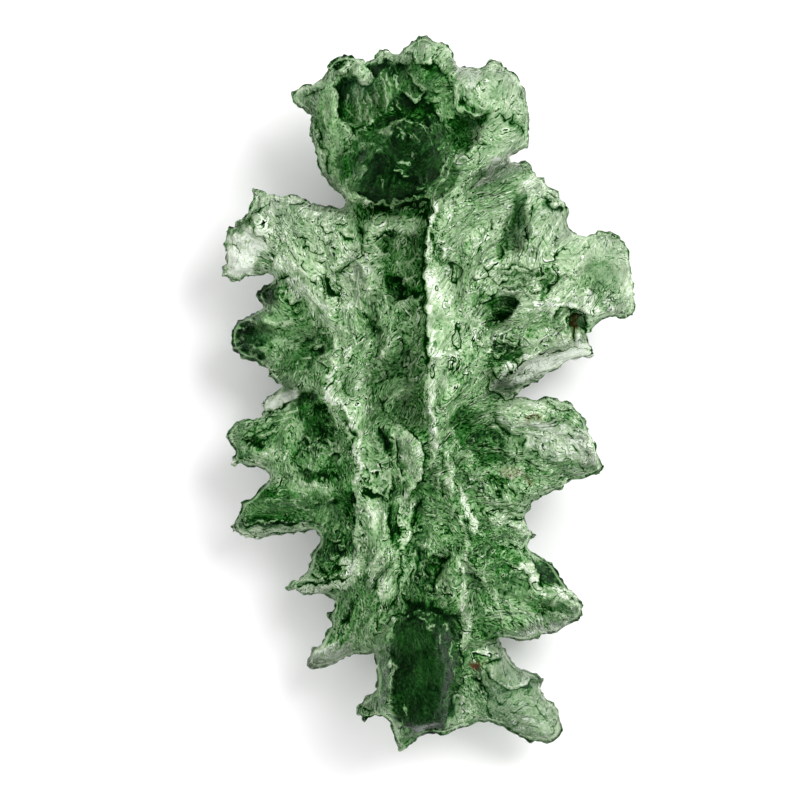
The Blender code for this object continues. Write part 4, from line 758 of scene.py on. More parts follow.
# %% The shelf under it, the middle fan, the tooth and the low arm
ledge([(3.5, 1.4), (4.0, 0.75), (4.45, 0.1), (4.85, -0.1), (5.4, 0.0), (6.1, -0.1)], 0.0, 0.6, 1.0, 0.5)
ledge([(5.0, 2.1), (6.0, 2.55), (6.5, 2.45), (7.3, 2.75), (7.9, 2.6), (9.0, 2.85), (9.8, 2.7),
       (10.7, 2.75)][::-1], 0.0, 0.4, 0.7, 0.5)
ledge([(5.6, 1.2), (6.8, 1.5), (7.9, 1.9), (8.4, 1.6)], 0.16, 0.5, 0.35, 0.6)
rib([(4.3, 1.2), (5.6, 1.6), (7.0, 2.1), (8.5, 2.3), (10.4, 2.4)], 0.14, 0.4, 0.7)
ledge([(8.9, 3.3), (9.5, 3.0), (10.2, 3.1)], 0.16, 0.3, 0.4, 0.9)
crease([(3.9, -1.1), (4.4, -1.9), (5.1, -2.4), (5.7, -2.3)], 0.24, 0.4, 0.8)
for x, y in ((4.6, -2.6), (5.2, -3.1), (5.7, -2.7), (6.2, -3.4), (5.0, -3.8), (5.8, -4.0), (6.8, -3.0)):
    crease([(x, y), (x + 0.25, y - 0.3), (x + 0.2, y - 0.65)], 0.16, 0.22, 0.75)
    rib([(x + 0.2, y + 0.05), (x + 0.42, y - 0.3), (x + 0.36, y - 0.6)], 0.1, 0.16, 0.5)
rib([(4.8, -2.2), (5.8, -2.15), (6.9, -2.6), (7.9, -3.0)], 0.16, 0.35, 0.8)
for x, y in ((5.9, -1.2), (6.3, -1.4), (6.7, -1.2)):
    crease([(x, y), (x + 0.2, y - 0.3)], 0.12, 0.14, 0.8)
for x, y in ((8.3, -2.2), (9.0, -2.6), (9.4, -3.3), (8.6, -3.2), (9.9, -2.9), (8.4, -3.9), (9.2, -4.3),
             (9.6, -4.8)):
    crease([(x, y), (x + 0.3, y - 0.1), (x + 0.45, y - 0.45)], 0.12, 0.18, 0.75)
ledge([(7.3, 0.0), (7.9, -0.6), (8.8, -0.7), (9.3, -0.5)], 0.2, 0.3, 0.8, 0.5)
for x, y in ((3.7, -4.9), (4.2, -5.3), (4.6, -5.0), (4.0, -5.9), (4.8, -5.8), (5.4, -6.1)):
    crease([(x, y), (x + 0.3, y - 0.12), (x + 0.4, y - 0.4)], 0.16, 0.2, 0.85)
ledge([(7.6, -6.0), (8.1, -5.75), (8.6, -5.6), (8.7, -5.9)], 0.16, 0.25, 0.6, 0.9)
for y in (-6.75, -7.05, -7.35):
    rib([(4.4, y + 0.2), (5.2, y), (6.3, y - 0.05)], 0.12, 0.2, 0.8)
    crease([(4.6, y - 0.02), (5.4, y - 0.16), (6.4, y - 0.2)], 0.1, 0.16, 0.7)
ledge([(6.3, -7.75), (5.4, -7.6), (4.8, -7.75), (4.0, -7.4), (3.4, -7.2)][::-1], 0.0, 0.4, 0.8, 0.4)
rib([(3.5, -7.5), (4.7, -8.0), (6.0, -8.5), (7.0, -8.7)], 0.16, 0.5, 0.6)
ledge([(4.2, -9.3), (4.9, -9.2), (5.6, -9.5), (6.0, -9.2)], 0.14, 0.3, 0.6, 0.6)
ledge([(5.45, -10.2), (6.0, -10.8), (6.25, -11.4), (6.4, -12.0)], 0.24, 0.4, 1.0, 0.9)
ledge([(6.3, -10.15), (6.55, -10.9), (6.9, -11.6), (7.4, -12.1)][::-1], 0.24, 0.6, 0.5, 0.8)
rib([(6.6, -10.4), (7.4, -10.4), (8.2, -11.0), (8.6, -11.8)], 0.14, 0.25, 0.3)
pit(6.85, -11.75, 0.36, 0.2, 0.1, -15, 0.5, 1.0)
ledge([(7.3, -12.9), (8.0, -12.4), (8.8, -12.7)][::-1], 0.16, 0.4, 0.5, 0.9)
for r in (0.0, 0.28, 0.56):
    rib([(7.4 + r, -13.8 - 0.2 * r), (8.1 + r, -13.6), (8.8, -13.9 - 0.4 * r)], 0.12, 0.18, 0.7)
crease([(4.2, -12.3), (5.0, -13.6), (5.6, -14.6)], 0.16, 0.3, 0.5)
rib([(3.6, -11.4), (4.3, -12.8), (4.5, -14.4)], 0.14, 0.4, 0.5)
crease([(3.9, -14.9), (4.2, -15.2), (4.4, -14.8)], 0.2, 0.3, 0.9)
for x, y in ((5.6, -12.9), (6.4, -13.6), (7.2, -14.4)):
    rib([(x, y), (x + 0.6, y - 0.5), (x + 1.0, y - 0.9)], 0.1, 0.3, 0.4)
lap("right wings carved")

# %% [markdown]
# ## The left wings
#
# The left top fan ends in a clear white lobe, parted from it by a sharp ridge. Below it come the
# dark knuckle and four arms that get narrower and darker, three of them with a pale lip.

# %% The top fan and the knuckle
ledge([(-9.95, 7.8), (-9.7, 8.3), (-9.87, 9.0), (-10.4, 9.8), (-11.1, 10.65)][::-1], 0.34, 0.8, 0.5, 0.6)
for shift in (0.0, 0.42, 0.85):
    rib([(-10.75 + shift, 10.5 + 0.1 * shift), (-9.85 + shift, 9.55), (-9.1 + shift, 8.6),
         (-8.6 + shift, 7.7)], 0.14, 0.26, 0.6)
    crease([(-10.6 + shift, 10.2), (-9.7 + shift, 9.2), (-9.0 + shift, 8.2)], 0.1, 0.2, 0.5)
crease([(-9.85, 12.05), (-10.4, 11.55), (-10.75, 11.1), (-11.2, 10.6)], 0.3, 0.4, 1.0)
ledge([(-8.7, 11.75), (-8.3, 11.75), (-7.95, 12.0), (-7.85, 12.25)], 0.16, 0.4, 1.0, 0.5)
for x, y in ((-9.9, 10.9), (-9.6, 10.5), (-9.4, 10.9), (-9.7, 10.1), (-9.3, 10.2)):
    crease([(x, y), (x + 0.2, y - 0.3)], 0.12, 0.16, 0.8)
for x, y in ((-8.3, 10.1), (-8.0, 9.6), (-7.5, 9.25), (-6.9, 9.9), (-6.3, 9.4), (-6.6, 10.6), (-5.6, 10.2),
             (-5.9, 11.0), (-5.3, 9.3), (-7.2, 8.6)):
    ledge([(x, y), (x + 0.3, y - 0.3), (x + 0.8, y - 0.35)], 0.14, 0.35, 0.75, 0.5)
for x, y, length in ((-7.1, 7.6, 1.6), (-6.8, 7.7, 1.7), (-7.6, 7.7, 0.8), (-6.5, 7.4, 1.4),
                     (-8.1, 8.5, 0.8)):
    crease([(x, y), (x + 0.3 * length, y - 0.6 * length), (x + 0.52 * length, y - length)], 0.16, 0.18, 0.85)
rib([(-8.0, 11.5), (-7.8, 10.6), (-7.2, 9.8)], 0.1, 0.3, 0.4)
crease([(-9.6, 7.3), (-9.0, 7.5), (-8.4, 7.6)], 0.2, 0.3, 0.9)
rib([(-12.7, 7.6), (-11.8, 8.0), (-10.8, 8.1), (-10.0, 8.2)], 0.08, 0.3, 0.3)
rib([(-12.4, 8.6), (-11.6, 9.1), (-10.9, 9.0)], 0.08, 0.25, 0.3)
crease([(-12.6, 8.0), (-12.0, 8.6), (-11.9, 9.3), (-12.3, 9.9)], 0.06, 0.16, 0.25)
ledge([(-10.9, 6.6), (-10.2, 6.9), (-9.5, 7.3), (-9.2, 6.9)], 0.2, 0.4, 0.6, 0.5)
ledge([(-12.1, 5.0), (-11.4, 5.3), (-10.8, 5.4), (-10.2, 5.8)], 0.2, 0.4, 0.6, 0.5)
for y in (4.8, 4.15, 3.6, 3.0):
    rib([(-12.2, y - 0.1), (-11.6, y + 0.05), (-11.0, y - 0.2), (-10.6, y - 0.5)], 0.2, 0.26, 0.75)
    crease([(-12.1, y - 0.35), (-11.5, y - 0.25), (-10.9, y - 0.5)], 0.2, 0.26, 0.8)
rib([(-10.2, 4.7), (-9.4, 4.5), (-8.4, 4.9)], 0.16, 0.3, 0.6)
crease([(-9.8, 4.1), (-9.3, 4.2), (-8.8, 4.1)], 0.12, 0.2, 0.8)
for x, y in ((-9.4, 2.2), (-8.9, 1.6), (-8.2, 1.3), (-9.0, 2.9), (-7.6, 1.9), (-8.0, 2.7)):
    rib([(x, y), (x + 0.8, y + 0.55), (x + 1.5, y + 0.9)], 0.12, 0.26, 0.45)
for x, y in ((-8.4, 5.6), (-7.9, 5.0), (-7.4, 4.5), (-8.8, 6.2), (-7.0, 4.0), (-7.9, 3.8), (-7.2, 3.1),
             (-6.9, 2.2)):
    ledge([(x, y), (x + 0.25, y - 0.25), (x + 0.6, y - 0.2)], 0.16, 0.3, 0.8, 0.5)
lap("left fan carved")

# %% The four left arms
ledge([(-10.5, -1.15), (-9.5, -0.65), (-8.8, -0.35), (-8.2, -0.15)], 0.24, 0.5, 1.0, 0.6)
rib([(-10.3, -0.4), (-9.3, 0.0), (-8.4, 0.25)], 0.12, 0.3, 0.9)
for shift in (0.0, 0.35, 0.75, 1.15):
    rib([(-12.3 + 0.3 * shift, -2.2 - shift), (-10.9, -1.55 - shift), (-9.4, -0.85 - shift),
         (-8.0, -0.35 - 0.8 * shift)], 0.16, 0.26, 0.6)
    crease([(-12.0 + 0.3 * shift, -2.3 - shift), (-10.8, -1.72 - shift), (-9.4, -1.05 - shift)],
           0.12, 0.2, 0.6)
crease([(-11.6, -2.7), (-11.2, -2.95), (-10.5, -3.2)], 0.24, 0.34, 1.0)
crease([(-12.2, -3.2), (-11.9, -3.7), (-11.6, -4.1)], 0.2, 0.26, 1.0)
rib([(-12.5, -4.3), (-12.0, -4.1), (-11.0, -4.1), (-10.2, -4.4)], 0.12, 0.25, 0.6)
crease([(-8.55, -3.8), (-8.1, -3.65), (-7.7, -3.5)], 0.2, 0.26, 1.0)
crease([(-8.5, -3.8), (-8.3, -4.3), (-7.8, -4.7)], 0.18, 0.24, 0.8)
crease([(-7.8, -4.6), (-6.9, -4.6), (-6.2, -4.4), (-5.5, -4.35)], 0.24, 0.3, 1.0)
for x, y, size in ((-6.0, -3.8, 0.42), (-7.2, -3.4, 0.4), (-7.9, -2.9, 0.4), (-6.6, -3.0, 0.3)):
    ledge([(x - size, y + 0.2 * size), (x - 0.2 * size, y + size), (x + 0.8 * size, y + 0.5 * size),
           (x + 0.7 * size, y - 0.6 * size)], 0.14, 0.3, 0.5, 0.4)
crease([(-7.3, -0.6), (-6.7, -0.8), (-6.2, -0.5)], 0.24, 0.5, 0.8)
crease([(-6.9, -1.7), (-6.6, -2.2), (-6.7, -2.8)], 0.24, 0.5, 0.8)
rib([(-5.7, -1.2), (-5.1, -2.0), (-4.9, -3.0)], 0.14, 0.3, 0.5)
rib([(-8.7, -5.6), (-7.6, -5.3), (-6.9, -5.6), (-6.0, -5.5)], 0.18, 0.3, 0.8)
ledge([(-7.2, -6.8), (-6.8, -6.6), (-6.4, -6.7), (-5.9, -6.4)], 0.16, 0.3, 0.8, 0.5)
for x, y in ((-9.6, -6.0), (-10.2, -6.5), (-9.0, -6.7), (-8.6, -6.1), (-8.2, -7.0), (-10.6, -7.1),
             (-9.6, -7.2)):
    rib([(x, y), (x + 0.5, y + 0.2), (x + 1.1, y - 0.05)], 0.14, 0.26, 0.5)
ledge([(-11.85, -6.5), (-11.7, -7.15), (-11.5, -7.9), (-11.0, -8.0), (-9.6, -7.85), (-8.2, -7.8),
       (-7.0, -8.0)], 0.3, 0.6, 1.0, 0.3)
rib([(-11.3, -8.4), (-9.8, -8.3), (-8.2, -8.15)], 0.14, 0.3, 0.8)
crease([(-12.2, -7.7), (-12.0, -8.3)], 0.12, 0.2, 0.7)
rib([(-12.6, -8.2), (-12.1, -7.6), (-11.9, -7.0)], 0.1, 0.22, 0.7)
crease([(-11.6, -8.6), (-10.4, -8.55), (-9.2, -8.45)], 0.08, 0.2, 0.5)
for x, y in ((-6.2, -8.9), (-5.8, -9.4), (-6.3, -9.9), (-6.7, -10.5), (-5.9, -10.3), (-7.2, -11.0),
             (-6.3, -11.1)):
    ledge([(x, y), (x + 0.3, y - 0.3), (x + 0.7, y - 0.1)], 0.18, 0.3, 0.9, 0.6)
ledge([(-8.3, -12.0), (-7.0, -11.65), (-5.8, -11.3), (-5.0, -11.1)], 0.26, 0.4, 1.0, 0.4)
rib([(-7.9, -12.25), (-6.7, -11.95), (-5.8, -11.6), (-5.0, -11.3)], 0.16, 0.24, 0.9)
crease([(-6.5, -12.4), (-5.9, -12.1), (-5.4, -12.3)], 0.14, 0.24, 0.8)
for x, y in ((-3.6, -12.4), (-3.9, -12.9), (-4.3, -13.4), (-4.6, -14.0), (-3.4, -13.4), (-3.8, -14.2)):
    rib([(x, y), (x - 0.3, y - 0.8), (x - 0.6, y - 1.5)], 0.14, 0.24, 0.6)
crease([(-4.6, -12.4), (-5.0, -13.4), (-5.5, -14.4)], 0.2, 0.34, 0.7)
crease([(-3.4, -12.6), (-3.2, -13.6), (-3.3, -14.6)], 0.16, 0.24, 0.6)
rib([(-5.7, -15.6), (-4.6, -15.1), (-3.6, -14.9)], 0.12, 0.22, 0.6)
crease([(-7.3, -16.8), (-6.0, -16.2), (-4.4, -15.8)], 0.08, 0.2, 0.4)
lap("left arms carved")

# %% [markdown]
# ## The foot
#
# The stone ends in a second glossy boss, with a heel that curls out to the left, and a thin, nearly
# colourless flange that fans out to the right.

# %% The foot boss and its flange
ledge([(1.1, -19.4), (1.5, -18.6), (1.9, -17.3), (1.85, -15.4), (1.5, -14.1), (0.6, -13.4), (-0.4, -13.2),
       (-1.2, -13.2), (-2.1, -13.5), (-2.7, -14.6)], 0.3, 0.8, 1.0, 0.2)
rib([(-2.45, -16.0), (-2.4, -17.2), (-2.5, -18.2), (-2.65, -19.1)], 0.18, 0.22, 0.75)
rib([(0.0, -14.15), (0.1, -13.95), (0.3, -14.0)], 0.12, 0.16, 0.9)
rib([(0.65, -14.0), (0.85, -14.1), (0.95, -14.4)], 0.12, 0.16, 0.9)
rib([(1.1, -14.8), (1.2, -15.6), (1.15, -16.3)], 0.1, 0.18, 0.6)
rib([(0.4, -14.7), (0.5, -15.2)], 0.08, 0.14, 0.5)
crease([(-1.6, -13.5), (-0.8, -13.8), (0.2, -13.7)], 0.2, 0.3, 0.7)
rib([(-1.0, -13.75), (-0.5, -13.65), (0.1, -13.9)], 0.12, 0.2, 0.5)
pit(0.05, -17.95, 0.28, 0.17, 0.1, 10, 0.7, 0.35)
rib([(1.4, -16.8), (1.3, -18.0), (0.9, -19.2)], 0.12, 0.24, 0.4)
rib([(-1.6, -18.9), (-1.4, -19.6), (-1.6, -20.1)], 0.1, 0.24, 0.4)
ledge([(-3.1, -17.9), (-3.9, -18.9), (-4.5, -19.6)], 0.14, 0.5, 0.5, 0.5)
pit(-4.05, -19.7, 0.3, 0.36, 0.14, 10, 1.0, 0.9)
crease([(-3.9, -19.4), (-3.75, -20.0)], 0.14, 0.16, 1.0)
rib([(-3.6, -19.6), (-3.0, -19.3), (-2.8, -18.6)], 0.12, 0.3, 0.4)
rib([(0.0, -20.7), (0.7, -20.9), (1.0, -21.2)], 0.14, 0.3, 0.9)
crease([(2.5, -17.4), (2.9, -18.0), (3.35, -18.7), (3.7, -19.6), (3.9, -20.4)], 0.22, 0.3, 0.9)
rib([(2.2, -17.6), (2.6, -18.8), (3.2, -20.2)], 0.12, 0.26, 0.5)
for x, y in ((1.8, -18.6), (2.1, -19.4), (1.6, -19.9), (2.6, -19.9)):
    rib([(x, y), (x + 0.5, y - 0.6), (x + 0.8, y - 1.0)], 0.1, 0.2, 0.5)
ledge([(3.4, -16.9), (3.9, -17.75), (4.8, -18.3), (5.7, -18.25), (6.45, -17.8), (7.3, -17.6)],
      0.26, 0.9, 0.9, 0.7)
crease([(3.4, -16.75), (4.4, -16.5)], 0.16, 0.2, 0.9)
ledge([(5.0, -16.9), (5.3, -17.2), (5.9, -17.55)], 0.14, 0.3, 0.8, 0.4)
for path in ([(3.9, -19.0), (4.6, -19.3), (5.2, -18.9)], [(4.4, -19.8), (5.2, -19.9), (6.0, -19.2)],
             [(5.6, -18.9), (5.5, -19.5)], [(6.2, -19.0), (7.0, -19.8), (7.6, -20.6)],
             [(4.6, -20.7), (5.8, -20.6)]):
    crease(path, 0.12, 0.16, 0.65)
rib([(6.8, -18.4), (7.6, -19.4), (8.1, -20.6)], 0.1, 0.4, 0.4)
ledge([(7.8, -19.6), (8.1, -20.4), (7.5, -21.2)], 0.12, 0.3, 0.5, 0.5)
lap("foot carved")

# %% [markdown]
# ## Light and dark glass
#
# The colour of this glass is its thickness: the bosses are nearly black, the wings pale. The deep
# colour comes from the glass itself, further down. But the skin's look also differs from place to
# place, and that is painted here on a map that runs from 0 (black-green) to 1 (whitish), and a
# little past 1 where the skin should stay white under the finer marks: first wide soft strokes, then
# crisp patches over them. Part of it is the skin's own tone, part is painted light and shade:
# painted shade in the hollows, in the cup and under overhanging lips, and painted highlights on
# crests and on the bosses.

# %% Tones of the crown and the boss
tone = np.full(X.shape, 0.52)
strokes(
    tone,
    (0.50, 1.3, (-6.4, 15.3), (-6.6, 18.4)),
    (0.50, 1.0, (-7.6, 18.6), (-6.6, 19.3)),
    (0.48, 2.6, (-4.8, 18.5), (-3.0, 19.0), (-1.5, 18.5)),
    (0.15, 0.9, (-3.4, 20.3), (-1.9, 20.0)),
    (0.15, 0.5, (-5.4, 19.2), (-5.2, 17.6)),
    (0.55, 0.9, (-4.7, 20.5), (-4.0, 20.0)),
    (0.42, 0.5, (-6.1, 20.5), (-5.3, 20.9)),
    (0.50, 1.5, (-0.6, 21.4), (0.9, 20.9)),
    (0.68, 0.6, (-0.8, 21.9), (0.6, 22.1)),
    (0.45, 0.5, (-0.9, 19.3), (0.2, 19.0)),
    (0.28, 0.8, (-1.5, 19.5), (-0.6, 19.7)),
    # painted shade in the cup behind the boss
    (0.15, 0.9, (-3.9, 17.3), (-2.2, 17.9), (-0.6, 17.7)),
    (0.34, 0.8, (0.3, 17.4), (1.5, 16.2)),
    (0.12, 1.6, (1.5, 17.3), (2.6, 16.6), (2.2, 15.6)),
    (0.85, 1.2, (2.0, 20.2), (2.6, 19.9)),
    (0.66, 3.0, (3.5, 19.0), (5.2, 19.5), (5.5, 17.0), (3.8, 15.5)),
    (0.50, 1.0, (5.7, 16.7)),
    (0.95, 0.9, (3.6, 13.5), (4.9, 14.6)),
    (0.66, 0.9, (1.9, 11.5), (1.9, 14.8)),
    (0.02, 3.6, (-2.6, 14.0), (-1.2, 15.3)),
    (0.20, 1.2, (-3.6, 15.3), (-4.1, 14.6)),
    (0.22, 1.0, (-4.4, 13.6), (-3.6, 12.7)),
    (0.28, 1.2, (0.6, 12.8), (1.1, 14.0)),
)
patches(
    tone,
    (0.54, (-6.6, 18.0), (-6.2, 18.9), (-5.7, 18.7), (-5.45, 18.1), (-5.4, 17.5), (-5.55, 17.1), (-5.3, 16.7),
     (-4.9, 16.4), (-4.6, 16.0), (-4.9, 15.6), (-5.4, 15.1), (-5.9, 15.0), (-6.4, 15.4), (-6.6, 16.3),
     (-6.55, 17.2)),
    (0.34, (-7.3, 16.6), (-7.0, 17.5), (-6.7, 18.0), (-6.55, 17.0), (-6.65, 16.0), (-6.9, 15.8)),
    (0.40, (-4.9, 19.0), (-4.4, 19.3), (-3.6, 19.4), (-3.0, 19.8), (-2.4, 20.0), (-2.3, 19.2), (-2.5, 18.4),
     (-3.0, 17.6), (-3.4, 17.0), (-3.8, 16.6), (-4.3, 16.8), (-4.9, 17.0), (-5.1, 17.4), (-5.0, 18.2)),
    (0.05, (-5.6, 19.1), (-5.1, 19.75), (-4.8, 19.6), (-4.5, 19.35), (-4.9, 19.1), (-5.2, 18.7),
     (-5.25, 18.0), (-5.45, 17.3), (-5.5, 18.2)),
    (0.22, (-5.2, 18.9), (-4.8, 19.0), (-4.7, 18.2), (-4.6, 17.3), (-4.9, 17.0), (-5.3, 17.1), (-5.3, 17.8)),
    (0.18, (-3.4, 20.6), (-2.5, 20.5), (-1.6, 20.6), (-1.3, 20.2), (-1.6, 19.7), (-2.2, 19.7), (-3.0, 20.0),
     (-3.4, 20.2)),
    (0.55, (-5.0, 20.0), (-4.6, 19.6), (-4.1, 19.35), (-3.7, 19.5), (-3.5, 19.9), (-3.6, 20.3), (-4.1, 20.7),
     (-4.6, 20.9), (-5.0, 20.6)),
    (0.40, (-4.2, 20.4), (-3.9, 19.8), (-3.6, 19.9), (-3.6, 20.3), (-4.0, 20.7)),
    (0.16, (-6.3, 20.7), (-5.6, 21.0), (-5.1, 20.9), (-5.4, 20.5), (-6.0, 20.2)),
    (0.66, (-6.0, 20.2), (-5.2, 20.4), (-5.0, 20.1), (-5.6, 19.8), (-6.1, 19.9)),
    (0.50, (-1.4, 21.4), (-0.6, 22.4), (0.2, 22.4), (1.2, 22.0), (1.6, 21.0), (1.6, 20.2), (1.75, 19.3),
     (1.3, 19.5), (0.8, 20.2), (0.4, 20.5), (-0.1, 20.3), (-0.5, 20.5), (-1.0, 20.9)),
    (0.58, (-1.2, 21.3), (-0.6, 21.8), (-0.1, 21.3), (-0.3, 20.6), (-0.9, 20.9)),
    (0.34, (-1.3, 20.6), (-1.1, 20.1), (-1.0, 19.5), (-0.4, 19.1), (0.4, 18.85), (1.0, 19.4), (0.6, 20.1),
     (0.1, 20.25), (-0.4, 20.2)),
    (0.08, (0.5, 20.35), (1.0, 19.7), (1.6, 19.3), (1.2, 19.15), (0.8, 19.4), (0.45, 19.9)),
    (0.34, (-2.3, 19.5), (-1.2, 19.6), (-0.7, 19.1), (0.2, 18.8), (0.1, 18.4), (-0.3, 18.5), (-0.9, 18.35),
     (-1.4, 18.7), (-1.9, 18.8), (-2.3, 18.6)),
    # the next two dark patches are painted shade in the cup, behind the boss and under the petals
    (0.16, (-2.6, 18.4), (-3.0, 17.7), (-3.5, 17.0), (-3.7, 16.6), (-3.1, 16.4), (-2.4, 16.9), (-1.9, 17.1),
     (-1.9, 18.4)),
    (0.05, (-2.2, 18.6), (-1.7, 18.75), (-1.3, 18.45), (-1.0, 18.2), (-0.4, 18.4), (0.0, 18.1), (0.1, 17.5),
     (-0.5, 17.2), (-1.5, 17.2), (-2.0, 17.3), (-2.1, 18.0)),
    (0.14, (-1.9, 17.9), (-1.2, 18.0), (-0.5, 18.0), (-0.3, 17.4), (-1.2, 17.3), (-1.8, 17.4)),
    (0.44, (0.2, 18.5), (1.0, 18.9), (1.6, 18.9), (1.55, 17.9), (1.2, 17.3), (0.8, 17.1), (0.4, 17.35),
     (0.15, 17.7)),
    (0.10, (1.3, 17.3), (1.7, 17.6), (2.5, 17.4), (3.0, 17.5), (2.95, 16.6), (2.8, 15.9), (2.3, 15.2),
     (1.9, 15.0), (1.5, 14.8), (1.4, 15.6), (1.5, 16.2), (1.2, 16.8)),
    (0.84, (1.8, 20.6), (2.6, 20.9), (3.2, 20.5), (3.0, 19.6), (2.6, 19.15), (2.1, 19.3), (1.85, 19.8)),
    (0.62, (1.85, 19.0), (1.9, 18.2), (2.2, 17.8), (3.0, 17.7), (3.1, 18.6), (3.0, 19.3), (2.5, 19.0)),
    (0.64, (1.65, 14.0), (1.8, 14.7), (2.15, 14.8), (2.6, 15.6), (3.0, 15.7), (3.0, 13.6), (1.6, 12.0),
     (1.5, 13.0)),
    (0.28, (0.2, 17.4), (0.9, 17.0), (1.3, 16.2), (1.5, 15.0), (1.4, 14.0), (1.0, 13.2), (0.4, 12.6),
     (0.0, 12.9), (0.6, 14.0), (0.8, 14.8), (0.4, 15.6), (-0.1, 16.4)),
)
lap("crown toned")

# %% Facets of the top boss
patches(
    tone,
    (0.20, (-5.9, 14.7), (-5.0, 15.0), (-4.2, 14.9), (-4.4, 14.3), (-5.0, 13.4), (-5.5, 13.2), (-5.8, 14.0)),
    (0.20, (-4.9, 15.2), (-4.5, 16.0), (-4.0, 16.45), (-3.5, 16.6), (-3.0, 16.3), (-2.6, 15.9), (-2.5, 15.4),
     (-2.9, 15.0), (-3.6, 14.9), (-4.3, 15.0)),
    (0.42, (-4.5, 15.5), (-4.0, 15.7), (-3.6, 15.4), (-3.6, 15.1), (-4.2, 15.15)),
    (0.0, (-0.1, 16.0), (0.5, 15.4), (0.75, 14.8), (0.5, 14.0), (0.1, 13.3), (-0.3, 12.6), (-1.0, 12.35),
     (-2.2, 12.25), (-3.4, 12.1), (-4.4, 12.2), (-4.5, 12.8), (-4.2, 13.6), (-3.8, 14.3), (-3.2, 14.75),
     (-2.7, 15.1), (-2.4, 15.7), (-2.0, 16.5), (-1.4, 16.9), (-0.6, 16.9)),
    (0.09, (-0.3, 15.0), (0.3, 15.2), (0.7, 14.8), (0.5, 14.2), (0.0, 14.1), (-0.6, 14.4)),
    (0.12, (-2.0, 13.1), (-1.2, 13.2), (-0.6, 13.0), (-0.9, 12.5), (-2.0, 12.45), (-2.6, 12.6)),
    (0.15, (-3.3, 13.4), (-2.9, 13.6), (-2.6, 13.2), (-2.9, 12.9), (-2.8, 13.2)),
    (0.26, (-5.1, 13.0), (-4.9, 13.6), (-4.3, 14.3), (-3.8, 14.8), (-3.45, 14.7), (-3.9, 14.1), (-4.2, 13.4),
     (-4.5, 12.8), (-4.6, 12.2), (-5.0, 12.4)),
    (0.62, (-3.1, 16.5), (-2.7, 16.5), (-2.35, 16.2), (-2.65, 16.0), (-3.0, 16.2)),
    (0.45, (-2.4, 16.75), (-1.9, 17.0), (-1.7, 16.9), (-2.1, 16.65)),
    # painted highlights on the crumpled face
    (1.0, (-1.72, 16.25), (-1.5, 16.2), (-1.38, 15.85), (-1.5, 15.7), (-1.62, 16.0)),
    (1.0, (-1.15, 16.3), (-0.95, 16.15), (-0.8, 15.9), (-1.0, 15.95)),
    # the black line under the lip is painted shadow, with painted highlights on it after it
    (0.0, (-3.9, 12.05), (-2.4, 12.1), (-1.5, 12.35), (-0.6, 12.35), (-0.2, 12.0), (-0.6, 11.8), (-1.6, 11.9),
     (-2.6, 11.85), (-4.1, 11.7)),
    (0.95, (-4.15, 11.95), (-3.85, 12.0), (-3.8, 11.75), (-4.1, 11.7)),
    (0.90, (-3.65, 11.95), (-3.3, 12.05), (-3.2, 11.95), (-3.55, 11.85)),
    (0.75, (-2.45, 12.1), (-2.1, 12.28), (-1.85, 12.2), (-2.15, 12.12)),
    # a painted highlight round the bubble, with its darker floor
    (0.95, (-1.22, 14.8), (-1.02, 15.1), (-0.86, 14.8), (-1.04, 14.5)),
    (0.35, (-1.1, 14.8), (-1.02, 14.95), (-0.96, 14.8), (-1.04, 14.65)),
    (0.45, (-2.35, 14.53), (-1.6, 14.44), (-0.95, 14.33), (-1.6, 14.36)),
    (0.95, (0.05, 11.3), (0.1, 11.8), (0.25, 12.4), (0.38, 12.0), (0.42, 11.4), (0.2, 11.1)),
)
lap("top boss toned")

